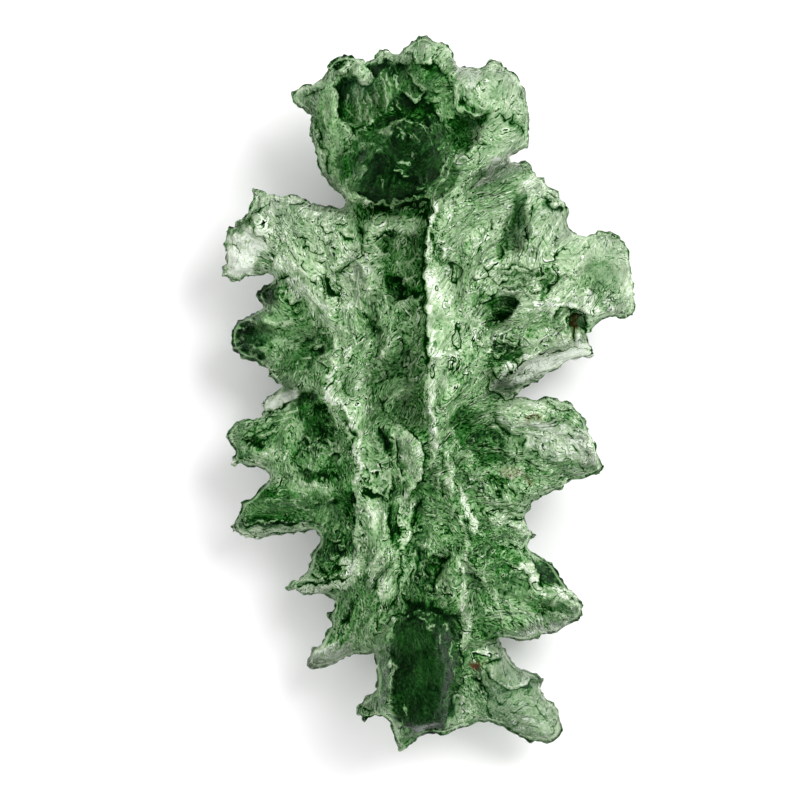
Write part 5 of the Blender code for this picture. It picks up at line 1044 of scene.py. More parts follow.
# %% Tones of the trough and the ridges
strokes(
    tone,
    (0.54, 4.0, (-2.3, 9.7), (-2.2, 0.0)),
    (0.40, 4.0, (1.0, -6.0), (3.0, -13.0)),
    (0.40, 3.0, (5.0, -9.5), (6.5, -13.0)),
    (0.50, 0.7, (-4.2, 10.5), (-0.8, 10.4)),
    (0.56, 1.0, (-3.6, 9.8), (-3.6, 6.0)),
    (0.38, 2.2, (-1.6, 9.5), (-1.5, 6.5)),
    (0.60, 0.9, (-1.1, 6.1), (-1.1, 4.3)),
    (0.50, 1.8, (-3.2, 5.3), (-2.2, 5.2)),
    # narrow dark strokes like this one along the creases are painted shade in them
    (0.15, 0.35, (-4.1, 4.8), (-3.35, 4.0)),
    (0.68, 0.35, (-3.3, 1.9), (-2.1, 4.6)),
    (0.42, 2.4, (-2.6, 1.0), (-2.2, -1.2)),
    (0.68, 1.2, (-4.6, 2.5), (-4.6, -0.8)),
    (0.18, 1.4, (-5.6, 7.0), (-4.7, 7.6)),
    (0.60, 3.0, (2.3, 11.5), (2.3, 1.0)),
    (0.92, 0.25, (0.2, 12.3), (0.0, 10.5), (0.0, 8.5)),
    (0.70, 1.9, (0.5, 7.2), (0.7, 5.5), (0.8, 3.5), (0.8, 1.5)),
    (0.74, 0.5, (-0.05, 7.2), (0.0, 5.5), (0.2, 3.5), (0.2, 1.5)),
    (0.92, 0.2, (0.1, 11.0), (0.6, 9.6), (0.8, 8.8)),
    (0.30, 0.45, (0.35, 10.6), (0.4, 8.6)),
    (0.64, 0.9, (-6.4, 5.6), (-5.9, 3.5), (-5.8, 1.5)),
    (1.00, 0.28, (-6.1, 1.5), (-6.3, 0.6), (-5.7, -0.3), (-4.9, -1.3), (-4.4, -2.4), (-4.3, -3.2)),
    (0.95, 0.30, (-4.7, -3.2), (-4.4, -4.3), (-4.55, -5.0)),
    (0.62, 1.3, (-4.3, -5.8), (-3.8, -7.0), (-3.4, -8.6)),
    (0.68, 0.8, (-2.4, -9.8), (-2.6, -11.2), (-3.1, -12.6)),
    (0.66, 0.9, (-1.3, -2.8), (-1.2, -4.5)),
    (0.26, 0.4, (-2.8, -2.2), (-2.8, -3.4)),
    (0.55, 1.2, (-3.3, -3.4), (-3.2, -5.2)),
    (0.85, 0.4, (-1.7, -6.6), (-1.5, -9.2)),
    (0.30, 0.8, (-0.6, -6.0), (-0.6, -9.0)),
    (0.15, 0.3, (-2.2, -7.5), (-2.2, -9.0)),
    (0.35, 2.0, (-0.7, -10.0), (-0.8, -12.5)),
    (0.92, 0.35, (0.2, 1.0), (0.1, -1.0), (0.3, -3.3)),
    (0.70, 0.4, (1.0, -3.5), (1.3, -5.5)),
    (0.90, 0.35, (1.9, -5.5), (2.2, -6.8), (2.8, -8.3)),
    (0.75, 0.5, (2.4, -9.0), (2.1, -10.5), (2.2, -11.5)),
    (0.70, 0.5, (2.1, -12.0), (2.1, -15.5)),
)
patches(
    tone,
    # painted shade under the boss's overhanging lip
    (0.20, (-4.6, 11.8), (-2.4, 11.7), (-0.2, 11.8), (-0.2, 11.0), (-2.4, 11.2), (-4.5, 11.0)),
    (0.58, (-4.4, 10.9), (-2.4, 11.0), (-0.3, 10.8), (-0.25, 10.1), (-1.6, 10.0), (-2.6, 10.2), (-4.2, 10.0)),
    (0.56, (-4.0, 10.0), (-3.6, 9.6), (-3.0, 8.6), (-3.0, 7.4), (-3.2, 6.4), (-4.0, 6.6), (-4.05, 8.4)),
    (0.36, (-3.6, 9.95), (-2.7, 9.9), (-2.75, 9.0), (-3.2, 9.2)),
    (0.38, (-2.8, 9.9), (-1.4, 9.8), (-0.3, 9.9), (-0.3, 7.4), (-0.7, 6.4), (-1.8, 6.2), (-2.8, 6.9),
     (-3.0, 8.2)),
    (0.50, (-2.1, 9.6), (-1.4, 9.6), (-1.0, 9.2), (-1.5, 8.9), (-2.0, 9.1)),
    (0.44, (-2.2, 8.4), (-1.4, 8.6), (-0.7, 8.9), (-0.6, 8.4), (-1.3, 8.0), (-2.1, 8.0)),
    (0.18, (-2.9, 7.2), (-2.2, 7.4), (-1.7, 7.0), (-1.8, 6.1), (-2.5, 6.3)),
    (0.60, (-2.1, 7.1), (-1.6, 7.3), (-1.1, 7.5), (-1.4, 7.15)),
    (0.55, (-3.5, 6.4), (-2.6, 6.3), (-1.7, 6.1), (-0.8, 6.2), (-0.6, 5.2), (-0.8, 4.2), (-1.8, 4.2),
     (-2.7, 4.6), (-3.4, 5.2)),
    (0.62, (-1.7, 6.2), (-0.8, 6.25), (-0.7, 5.3), (-0.85, 4.5), (-1.4, 4.6), (-1.6, 5.3)),
    (0.32, (-3.9, 4.8), (-3.3, 4.6), (-2.9, 4.0), (-3.1, 3.4), (-3.8, 3.6)),
    (0.44, (-3.0, 4.0), (-2.2, 4.2), (-1.2, 4.0), (-1.1, 2.4), (-1.6, 1.8), (-2.9, 1.8), (-3.3, 2.6)),
    (0.66, (-3.4, 1.9), (-2.7, 3.0), (-2.2, 4.1), (-2.1, 3.8), (-2.6, 2.7), (-3.2, 1.8)),
    (0.52, (-1.1, 4.4), (-0.4, 4.4), (-0.25, 3.2), (-0.3, 1.9), (-1.0, 1.9)),
    (0.37, (-3.7, 1.6), (-2.2, 1.8), (-0.6, 1.6), (-0.5, 0.0), (-0.6, -1.4), (-2.0, -1.7), (-3.2, -1.5),
     (-3.8, -0.6)),
    (0.46, (-2.0, 0.9), (-1.4, 1.0), (-1.0, 0.3), (-1.5, -0.3), (-2.2, 0.1)),
    (0.62, (-5.2, 2.8), (-4.5, 3.0), (-3.9, 2.6), (-3.9, 0.6), (-3.9, -1.4), (-4.6, -1.0), (-5.3, 0.0),
     (-5.4, 1.6)),
    (0.30, (-5.85, 8.1), (-5.0, 8.0), (-4.3, 8.4), (-4.2, 6.6), (-4.6, 5.5), (-5.6, 5.6), (-5.8, 6.8)),
    (0.42, (-5.4, 7.6), (-4.7, 7.8), (-4.6, 7.0), (-5.0, 6.6)),
    (0.62, (-1.9, -2.6), (-1.3, -2.5), (-0.7, -3.2), (-0.5, -4.0), (-0.55, -5.0), (-0.9, -5.9), (-1.4, -6.4),
     (-1.3, -5.2), (-1.5, -4.0)),
    (0.42, (-2.4, -2.4), (-1.9, -3.0), (-1.5, -4.2), (-1.4, -5.4), (-1.9, -6.3), (-2.3, -5.5), (-2.5, -4.2),
     (-2.3, -3.2)),
    (0.54, (-4.0, -2.4), (-3.2, -2.3), (-2.9, -3.2), (-2.6, -4.0), (-2.7, -5.2), (-3.2, -5.9), (-3.8, -5.4),
     (-4.1, -4.4)),
    (0.26, (-3.0, -2.0), (-2.6, -2.1), (-2.45, -3.0), (-2.6, -3.7), (-2.95, -3.4)),
    (0.60, (-4.6, -5.4), (-4.0, -6.3), (-3.4, -7.0), (-2.9, -7.6), (-2.75, -8.6), (-2.8, -9.4), (-3.3, -9.7),
     (-4.1, -8.9), (-4.5, -7.6)),
    (0.56, (-3.9, -9.3), (-3.0, -9.8), (-2.6, -9.7), (-3.0, -10.4), (-3.8, -11.0), (-4.0, -10.2)),
    (0.60, (-2.6, -9.6), (-2.1, -10.2), (-2.1, -10.9), (-2.6, -11.6), (-3.0, -12.2), (-3.4, -12.0),
     (-3.3, -11.2), (-2.9, -10.3)),
    (0.60, (-1.9, -6.4), (-1.3, -6.5), (-1.5, -7.4), (-1.4, -8.4), (-1.5, -9.3), (-1.8, -8.9), (-1.75, -7.8)),
    (0.28, (-2.7, -6.6), (-2.0, -7.0), (-1.95, -8.0), (-1.9, -9.2), (-2.4, -9.2), (-2.7, -8.0)),
    (0.18, (-1.2, -7.0), (-0.6, -6.4), (-0.4, -7.2), (-0.9, -8.1), (-1.3, -8.6)),
    (0.42, (-0.4, -7.6), (0.8, -7.0), (1.2, -8.0), (1.4, -9.4), (1.0, -9.9), (0.2, -9.6), (-0.2, -8.6)),
    (0.20, (-1.0, -9.4), (0.1, -9.8), (1.0, -10.2), (0.7, -10.8), (0.1, -11.4), (-0.5, -12.2), (-1.2, -11.0)),
    (0.48, (0.4, -11.2), (1.4, -10.8), (1.9, -11.6), (1.8, -12.4), (0.9, -12.9), (0.3, -12.3)),
    (0.32, (-5.9, -1.9), (-5.1, -2.2), (-4.9, -3.4), (-4.8, -4.8), (-4.75, -6.4), (-4.7, -8.4), (-4.75, -9.8),
     (-5.6, -10.2), (-6.2, -9.2), (-6.1, -6.0)),
    (0.70, (-5.7, -10.9), (-5.2, -10.2), (-4.5, -10.1), (-4.1, -10.2), (-4.3, -10.9), (-5.0, -11.3)),
    (0.72, (-0.1, 7.3), (0.35, 7.0), (0.4, 5.5), (0.35, 3.6), (0.3, 1.6), (0.0, 1.4), (-0.1, 2.4),
     (-0.15, 3.8), (-0.4, 5.8), (-0.5, 6.4)),
)
lap("trough toned")

# %% Tones of the right wings
strokes(
    tone,
    (0.66, 4.2, (4.5, 9.8), (7.5, 10.5)),
    (0.70, 3.6, (4.0, 6.5), (9.0, 7.2)),
    (0.35, 0.7, (5.5, 12.0), (5.4, 10.4)),
    (0.30, 1.0, (5.0, 9.9), (4.5, 9.2)),
    (0.75, 2.2, (6.6, 12.6), (7.5, 11.0)),
    (0.20, 0.4, (7.2, 12.3), (7.9, 11.7)),
    (0.75, 1.6, (6.5, 9.0), (9.0, 9.3)),
    (0.40, 0.8, (6.6, 7.6), (7.2, 7.4)),
    (0.15, 0.35, (7.5, 7.7), (7.3, 6.8), (6.9, 6.3)),
    (0.72, 2.2, (9.5, 8.8), (11.8, 8.0), (12.0, 6.0)),
    (0.56, 1.6, (9.9, 7.3), (11.2, 7.0)),
    (0.82, 1.4, (8.0, 6.6), (9.5, 6.0)),
    (0.40, 1.8, (3.3, 5.6), (4.3, 5.2)),
    (0.24, 0.7, (4.7, 5.6), (5.1, 5.4)),
    (0.62, 0.7, (4.2, 3.7), (5.1, 3.2)),
    (0.25, 1.2, (4.2, 2.2), (5.2, 2.3)),
    (0.80, 1.2, (6.5, 3.4), (9.0, 3.3)),
    (1.05, 1.4, (5.0, 1.3), (7.0, 1.9), (10.5, 2.5)),
    (0.12, 0.9, (9.2, 4.7), (9.4, 4.4)),
    (0.55, 1.8, (2.0, 1.5), (2.2, 0.0)),
    (0.22, 2.2, (2.3, -1.7), (3.6, -3.2)),
    (0.75, 1.6, (5.0, -0.8), (6.6, -1.2)),
    (0.45, 0.9, (7.6, -1.3), (8.4, -1.4)),
    (0.88, 2.0, (7.0, -2.7), (9.8, -3.2)),
    (0.50, 1.2, (6.5, -4.8), (8.4, -5.0)),
    (0.75, 0.6, (4.9, -4.6), (5.5, -4.9)),
    (0.20, 0.9, (3.9, -5.2), (4.6, -5.4)),
    (0.74, 1.0, (4.3, -7.7), (6.6, -8.5)),
    (0.28, 1.8, (3.2, -9.5), (4.8, -10.5)),
    (0.54, 1.8, (4.6, -13.0), (6.3, -14.2)),
    (0.14, 1.2, (7.0, -10.7), (8.2, -11.9)),
    (0.90, 0.3, (5.7, -10.4), (6.3, -11.4)),
    (0.80, 0.4, (6.6, -11.8), (7.1, -11.9)),
    (0.80, 0.8, (7.7, -12.2), (9.2, -12.8)),
    (0.25, 0.9, (7.1, -13.3), (8.3, -13.4)),
    (0.80, 0.6, (5.5, -15.1), (8.8, -14.3)),
)
patches(
    tone,
    (0.32, (5.0, 11.7), (5.9, 11.9), (5.95, 10.6), (5.9, 9.3), (5.5, 9.2), (5.1, 10.1), (4.5, 9.7),
     (4.0, 9.1), (4.5, 10.3)),
    (0.26, (4.1, 6.1), (4.8, 6.25), (5.3, 5.9), (5.4, 5.4), (5.2, 5.0), (4.2, 4.6), (3.4, 4.2), (3.6, 4.9)),
    (0.12, (4.6, 6.0), (5.1, 6.0), (5.35, 5.6), (5.2, 5.2), (4.8, 5.2)),
    (0.56, (4.2, 7.9), (5.4, 8.2), (6.6, 8.1), (7.3, 7.9), (6.3, 7.5), (6.2, 7.0), (6.6, 6.5), (5.2, 6.5),
     (4.5, 7.0)),
    (0.22, (6.3, 7.5), (7.3, 7.9), (7.5, 7.3), (7.2, 6.7), (6.9, 6.3), (6.7, 6.9)),
    (0.50, (9.4, 7.0), (10.2, 8.1), (11.1, 8.4), (11.2, 6.2), (10.4, 6.2)),
    (0.78, (7.0, 6.0), (8.4, 6.8), (9.3, 6.6), (10.8, 5.3), (9.9, 4.8), (9.5, 5.5), (8.4, 5.6), (7.6, 5.3)),
    (0.60, (3.8, 4.0), (5.4, 4.9), (6.0, 4.6), (5.6, 3.6), (5.2, 3.1), (4.6, 3.2)),
    (0.20, (4.0, 2.9), (4.6, 3.0), (5.2, 2.7), (5.9, 2.7), (5.6, 2.2), (4.9, 2.2), (4.3, 2.2)),
    (1.05, (6.1, 2.8), (8.0, 2.9), (10.6, 2.8), (10.8, 2.2), (8.0, 1.6), (6.3, 1.2), (5.2, 0.7), (4.6, 1.0),
     (5.3, 2.0)),
    (1.05, (9.0, 3.8), (9.6, 3.5), (10.4, 3.6), (10.5, 2.9), (9.2, 2.95)),
)
lap("right wings toned")

# %% Tones of the left wings and the foot
strokes(
    tone,
    (0.76, 5.0, (-8.5, 10.8), (-6.0, 7.5)),
    (0.62, 1.5, (-8.9, 11.0), (-8.3, 9.9)),
    (0.72, 2.0, (-6.6, 10.8), (-5.6, 9.0)),
    (0.70, 1.4, (-10.3, 9.8), (-6.4, 6.0)),
    (0.85, 0.7, (-9.3, 12.2), (-8.2, 12.3)),
    (1.00, 2.2, (-12.2, 8.5), (-11.2, 9.4)),
    (0.43, 3.6, (-9.8, 5.0), (-7.8, 3.2)),
    (0.15, 1.1, (-10.6, 6.5), (-9.5, 6.6)),
    (0.06, 1.6, (-11.9, 4.6), (-11.3, 3.0)),
    (0.60, 0.8, (-9.7, 3.5), (-8.8, 3.0)),
    (0.25, 1.6, (-8.6, 2.3), (-6.9, 3.0)),
    (0.50, 1.0, (-9.4, 0.9), (-8.2, 1.0)),
    (0.85, 0.7, (-8.8, 7.2), (-7.6, 6.4), (-6.5, 5.4)),
    (0.46, 2.6, (-11.5, -2.6), (-8.5, -2.0)),
    (1.05, 0.8, (-10.2, -0.5), (-8.5, 0.1)),
    (0.12, 1.9, (-7.4, -0.7), (-6.7, -2.2)),
    (0.10, 0.6, (-11.2, -2.7), (-10.6, -2.9)),
    (0.90, 0.4, (-12.4, -4.2), (-11.9, -4.1)),
    (0.66, 0.5, (-10.4, -3.6), (-8.7, -3.5)),
    (0.35, 1.6, (-7.8, -3.4), (-5.8, -3.6)),
    (0.12, 0.7, (-7.6, -4.9), (-5.9, -4.9)),
    (0.30, 2.0, (-11.2, -6.9), (-9.0, -6.8), (-6.0, -7.3)),
    (0.06, 0.5, (-11.2, -7.7), (-8.4, -7.7)),
    (0.55, 0.5, (-8.6, -5.6), (-6.2, -5.6)),
    (0.80, 0.8, (-12.5, -8.4), (-11.0, -8.7), (-8.0, -8.2)),
    (0.15, 1.6, (-5.8, -9.0), (-6.4, -10.6)),
    (0.35, 1.0, (-6.6, -10.7)),
    (0.90, 0.5, (-8.0, -12.3), (-6.5, -12.0), (-5.1, -11.4)),
    (0.78, 1.0, (-5.0, -10.5), (-4.8, -10.9)),
    (0.35, 2.2, (-4.2, -12.5), (-5.4, -14.5)),
    (0.85, 1.4, (-7.5, -16.5), (-5.5, -15.9)),
    (0.50, 0.9, (-4.0, -15.3), (-3.4, -15.2)),
    (0.05, 3.8, (-0.4, -14.6), (-0.4, -19.5)),
    (0.20, 1.1, (-2.6, -16.0), (-2.8, -18.5)),
    (0.40, 1.5, (-1.4, -21.2), (-0.6, -21.6)),
    (0.50, 1.6, (2.3, -18.2), (2.6, -19.8)),
    (0.68, 3.0, (4.8, -17.6), (7.3, -20.5)),
)
# all is mottled a little, apart from the facets of the foot boss, which come after it
tone += 0.03 * cloud(0.8, 51) + 0.015 * furrow + 0.02 * fold
patches(
    tone,
    (0.06, (-2.1, -13.5), (-1.4, -13.25), (-0.4, -13.3), (0.3, -13.4), (1.0, -13.8), (1.5, -14.3),
     (1.75, -15.1), (1.85, -16.0), (1.85, -17.2), (1.7, -18.3), (1.3, -19.2), (1.05, -20.3), (0.4, -20.6),
     (-0.6, -20.8), (-1.4, -20.4), (-1.9, -19.6), (-2.3, -18.0), (-2.35, -16.5), (-2.3, -15.2)),
    (0.17, (-2.2, -14.0), (-1.2, -14.1), (-0.2, -14.6), (0.0, -15.4), (-0.9, -15.7), (-2.2, -15.7)),
    (0.14, (-0.9, -16.2), (0.6, -16.2), (1.2, -16.8), (0.6, -17.6), (-0.4, -17.9), (-1.2, -17.4)),
    (0.0, (-2.3, -16.0), (-1.7, -16.0), (-1.6, -16.8), (-2.1, -17.0)),
    (0.0, (0.8, -17.1), (1.4, -17.0), (1.3, -17.7), (0.9, -17.6)),
    (0.0, (-1.5, -20.0), (0.0, -20.1), (1.0, -19.9), (1.0, -20.3), (-0.6, -20.7)),
    (0.20, (1.4, -16.8), (1.75, -17.2), (1.65, -18.4), (1.2, -19.2), (1.1, -18.6), (1.4, -17.8)),
    (0.24, (-3.1, -16.2), (-2.6, -16.2), (-2.55, -18.4), (-2.9, -19.4), (-3.3, -18.6), (-3.1, -17.6)),
    (0.40, (-0.7, -13.75), (0.0, -13.55), (0.2, -13.7), (-0.4, -13.85)),
    # painted highlights on the foot boss
    (0.95, (0.0, -14.25), (0.2, -13.95), (0.35, -13.95), (0.1, -14.3)),
    (0.95, (0.75, -13.85), (0.9, -14.0), (1.0, -14.35), (0.85, -14.2)),
    (0.70, (-2.55, -16.1), (-2.35, -16.4), (-2.35, -17.0), (-2.5, -17.0)),
)
lap("left wings and foot toned")

# %% [markdown]
# ## Clear glass and frosted glass
#
# The second painted map says how frosted the skin is. It starts from the thickness: the thick middle
# is frosted most, the wings less, and the rims a little more again. Then the bosses and some thin
# lips are painted clearer, and the white shelf more frosted. A third map says where the skin stays
# smooth: the bosses, the white lobe and parts of the crown and the wings have kept a fire-polished
# face with shallower furrows. The stains are earth caught in the etching: a rusty speck on the foot,
# a brown film in the hole of the right fan and faint ones on the fan below it.

# %% Frost, smoothness and stains
frost = 0.55 + 0.35 * ramp(blurred(thickness, 0.6), 1.0, 3.0) + 0.3 * (1 - ramp(inset, 0.1, 0.9))
strokes(
    frost,
    (0.50, 3.9, (-2.6, 14.0), (-1.2, 15.2)),
    (0.50, 1.6, (0.4, 12.8), (1.2, 14.6)),
    (0.40, 4.0, (-0.4, -14.8), (-0.5, -19.3)),
    (0.40, 1.6, (-2.8, -16.0), (-3.2, -19.0)),
    (0.75, 2.6, (-12.3, 8.4), (-11.2, 9.6)),
    (0.75, 1.0, (-10.2, -0.5), (-8.5, 0.1)),
    (0.22, 1.2, (2.0, 20.4), (2.6, 19.9)),
    (0.20, 1.2, (3.4, 13.5), (5.0, 14.5)),
    (0.25, 1.4, (-7.7, -16.7), (-5.3, -16.0)),
    (0.22, 2.0, (4.8, -17.0), (8.0, -17.8)),
    (0.30, 3.0, (5.0, -19.0), (7.6, -20.6)),
    (0.22, 0.8, (4.8, -15.2), (9.2, -13.8)),
    (0.95, 1.8, (5.4, 1.5), (10.0, 2.6)),
    (0.60, 2.4, (6.5, -2.6), (10.0, -3.4)),
    (0.25, 1.8, (-10.6, 6.5), (-11.4, 3.2)),
    soft=0.8,
)
polish = np.zeros(X.shape)
strokes(
    polish,
    (0.45, 3.6, (-2.6, 14.0), (-1.2, 15.2)),
    (0.4, 1.2, (0.5, 12.8), (1.0, 14.0)),
    (0.55, 3.4, (-0.4, -14.8), (-0.4, -19.3)),
    (0.40, 3.4, (-4.6, 18.4), (-1.6, 18.6), (1.6, 17.6)),
    (0.40, 2.4, (-0.4, 21.2), (0.9, 20.6)),
    (0.40, 2.6, (-5.2, 14.6), (-4.0, 16.2)),
    (0.7, 2.4, (-12.4, 8.6), (-11.3, 9.4)),
    (0.6, 2.0, (9.0, 9.0), (11.6, 7.4)),
    (0.4, 2.4, (-11.0, -2.2), (-8.4, -1.6)),
    (0.4, 2.0, (-10.6, -6.6), (-6.4, -6.6)),
    (0.3, 2.6, (-9.6, 4.2), (-8.0, 3.4)),
    (0.5, 1.4, (6.0, 2.2), (10.0, 2.6)),
    (0.6, 0.8, (-10.2, -0.5), (-8.5, 0.1)),
    (0.45, 1.4, (0.3, 7.2), (0.5, 4.0), (0.6, 1.5)),
    (0.35, 1.2, (-5.9, 15.6), (-6.1, 18.2)),
    (0.35, 2.4, (4.6, 18.6), (4.4, 15.6)),
    (0.4, 1.0, (-3.9, -6.6), (-3.5, -8.8)),
    (0.3, 1.2, (-7.8, 9.8), (-7.0, 8.2)),
    soft=1.0,
)
rust = np.zeros(X.shape)
strokes(
    rust,
    (1.0, 0.55, (2.75, -16.6), (2.95, -16.65)),
    (0.8, 0.14, (3.0, -16.6), (3.5, -16.62)),
    (0.45, 0.4, (9.3, 5.0), (9.1, 4.5), (8.9, 4.0)),
    (0.3, 0.25, (8.9, 4.2), (8.85, 3.6)),
    (0.35, 0.5, (6.0, -1.3), (6.7, -1.4)),
    (0.35, 0.6, (4.8, -4.6), (5.5, -4.9)),
    (0.30, 0.4, (6.1, -5.2), (6.5, -5.4)),
    soft=0.2,
)
lap("frost, polish and stains laid")

# %% [markdown]
# ## The height of the skin
#
# Now the parts are added up. The random furrows are turned into sharp crests by folding each field
# at its middle: soft hills become thin ridges with wide valleys, as etching leaves them. Where the
# skin is polished they are about half as high. The painted tones shape the skin as well, since a
# dark place on this stone is nearly always a hollow. A bevel thins the rims, above and below.

# %% Add up the height
def crested(field):
    """Soft lumps folded at their middle, so that sharp ridges stand between round valleys."""
    return -np.abs(field)


HAIR_HIGH, FURROW_HIGH, FOLD_HIGH = 0.024, 0.05, 0.05
TONE_HIGH = 0.35
BEVEL_WIDE, BEVEL_DEEP = 0.75, 0.40

rough = 1 - 0.85 * polish
furrowed = HAIR_HIGH * hair + FURROW_HIGH * crested(furrow) + FOLD_HIGH * crested(fold)
height = rough * furrowed + 0.85 * relief
height += TONE_HIGH * (blurred(tone, 0.6) - 0.5)
height -= blurred(height, 6.0)
bevel = 1 - ramp(inset, 0.0, BEVEL_WIDE)
height -= BEVEL_DEEP * bevel
under = 0.022 * furrows(0.16, 1.0, 31) + 0.05 * crested(furrows(0.36, 2.2, 32))
under = under + 0.08 * crested(furrows(0.9, 3.5, 33))
under -= under.mean() + 0.25 * bevel
teeth = 0.10 * crested(cloud(0.45, 34)) + 0.05 * crested(cloud(0.22, 35))
teeth -= teeth.mean()
print(f"top skin from {height.min():.2f} to {height.max():.2f} mm")

# %% [markdown]
# ## Push the skin
#
# Each point moves along its own normal. The top reads the carved map and the underside its own
# furrows. The rims and walls between them read the underside's furrows on a slant, so that nothing
# smears down them, and small teeth that nick the outline, as on broken glass. No point moves further
# than about two fifths of the wall under it, and none leaves the solid's box or sinks under the
# ground.

# %% Displace the net
SAFE_SHARE = 0.42
KEPT_WALL = 0.12


def held_in_box(points):
    return np.clip(points, np.maximum(low, (-np.inf, -np.inf, 0)), high)


x, y, z = points.T
top_share = ramp(normals[:, 2], 0.0, 0.5)
under_share = ramp(-normals[:, 2], 0.0, 0.5)
side_share = 1 - top_share - under_share
lift = top_share * read(height, x, y) + under_share * read(under, x, y)
lift += side_share * (read(teeth, x, y) + 0.6 * read(under, x + 0.8 * z, y - 1.1 * z))
allowed = SAFE_SHARE * np.maximum(walls - KEPT_WALL, 0.02)
lift = np.clip(lift, -allowed, allowed)
put_points(skin, held_in_box(points + lift[:, None] * normals))
print(f"{(np.abs(lift) >= allowed).mean():.1%} of the points held back by a thin wall")

# %% [markdown]
# ## Thin out the net
#
# The net now has more triangles than it needs. Decimating keeps small ones where the skin bends
# and merges them where it is flat. The top, which is looked at most, is thinned less.

# %% Decimate, then settle the new points
TRIANGLES = 196_000
SPARED_ABOVE, SPARED_BELOW = 0.9, 0.1

count = 2 * len(skin.polygons)
spared = np.where(normals_of(skin)[:, 2] > 0.05, SPARED_ABOVE, SPARED_BELOW)
skin = modified(
    skin,
    ("DECIMATE", {"ratio": TRIANGLES / count, "use_collapse_triangulate": True, "vertex_group": "spare",
                  "invert_vertex_group": True, "vertex_group_factor": 1.0}),
    spare=spared,
)
points, normals = held_in_box(points_of(skin)), normals_of(skin)
put_points(skin, points)
print(f"{(normals[:, 2] > 0.05).mean():.0%} of the points are on top")
lap(f"{count} triangles thinned to {len(skin.polygons)}")

# %% [markdown]
# ## Notes for the material
#
# The skin now carries notes from the maps to the material, a number on each point. Tone is the
# painted light and dark, sharpened by the tools' painted shading and by painted shade from the
# relief: crests a little lighter, hollows darker. Frost, crinkle and rust follow their maps, and thin
# says where the glass is less than a few millimetres thick. Each note also has a value for the
# underside, which got no strokes: a clearer glass whose furrows are shaded into its tone, crests
# lighter and hollows darker.

# %% Paint a note on the points
def paint(name, values):
    kind = "FLOAT" if values.ndim == 1 else "FLOAT_VECTOR"
    field = "value" if kind == "FLOAT" else "vector"
    attribute = skin.attributes.new(name, kind, "POINT")
    attribute.data.foreach_set(field, values.astype(np.float32).ravel())


def prominence(field, width):
    """How far each square stands above its surroundings, from -1 to 1."""
    return np.tanh(12 * (field - blurred(field, width)))


x, y, z = points.T
upper = ramp(normals[:, 2], -0.35, 0.1)


def note_down(name, over, beneath):
    """Paints a map's values on the top and another value beneath, blended at the rim."""
    paint(name, upper * read(over, x, y) + (1 - upper) * beneath)


# %% [markdown]
# The outline gets a thin dark line of painted shade and a painted highlight just inside it, as a rim
# of clear glass looks in the light. They go on the same two maps as the lines of the tools, whose
# distances are noted last.

# %% The notes
RIM_DARK, RIM_BRIGHT = 0.03, 0.18

inset = inset_of(thickness_of(skin, points))
draw(dark_line, gloom, EVERYWHERE, inset - RIM_DARK, 0.4 * wear, 0.05)
draw(bright_line, gleam, EVERYWHERE, inset - RIM_BRIGHT, 0.8 * wear, 0.16)
# the tools' shading, gleam, gloom and the prominence of the relief are painted light and shade
shade = tone + 1.4 * wear * shading + 0.06 * prominence(height, 0.8) + 0.06 * gleam - 0.08 * gloom
wide_furrows, fine_furrows = (read(prominence(under, width), x, y) for width in (0.9, 0.3))
note_down("tone", shade, 0.66 + 0.22 * wide_furrows + 0.12 * fine_furrows)
note_down("frost", np.clip(frost + 0.1 * gleam, 0, 1), 0.3)
note_down("crinkle", np.clip(1 - polish, 0, 1), 0.9)
note_down("rust", rust, 0.0)
note_down("thin", 1 - ramp(blurred(thickness, 0.6), 1.0, 4.5), 0.5)
for line, distance in (("dark", dark_line), ("bright", bright_line)):
    paint(line + "_line", read(np.clip(distance, -0.5, 0.5), x, y))
    note_down("near_" + line, 1 - ramp(np.abs(distance), 0.2, 0.4), 0.0)

# %% [markdown]
# The grain is three slow fields drawn out along the furrows. Noise that is read in those three, not in
# space, comes out as streaks that follow the furrows at any fineness, even below the size of a
# triangle.

# %% The grain
grain = [read(levelled(drawn_out(cloud(1.3, seed), 6.0)), x + 0.3 * z, y + 0.3 * z) for seed in (61, 62, 63)]
paint("grain", np.stack(grain, axis=1))
put_points(skin, points * MM)
skin.shade_smooth()
lap("notes painted")

# %% [markdown]
# ## A small kit for material maths
#
# A material is a net of nodes, and sums made of nodes are hard to read. The Socket class lets them
# be written as plain sums: adding two sockets makes the Math node that adds them. A Sheet is one
# material, with one way to make a node of any type.

# %% Sockets that can be added and multiplied
class Socket:
    """A node's output, which can be used in sums."""

    def __init__(self, sheet, socket):
        self.sheet, self.socket = sheet, socket

    def maths(self, operation, *values):
        return self.sheet.node("Math", {"operation": operation}, *values)

    def __add__(self, other):
        return self.maths("ADD", self, other)

    def __sub__(self, other):
        return self.maths("SUBTRACT", self, other)

    def __rsub__(self, other):
        return self.maths("SUBTRACT", other, self)

    def __mul__(self, other):
        return self.maths("MULTIPLY", self, other)

    __radd__, __rmul__ = __add__, __mul__

    def kept(self, least=0.0, most=1.0):
        return self.sheet.node("Clamp", {}, self, least, most)

    def size(self):
        """How far from zero, whichever way."""
        return self.maths("ABSOLUTE", self)

    @property
    def owner(self):
        return self.socket.node


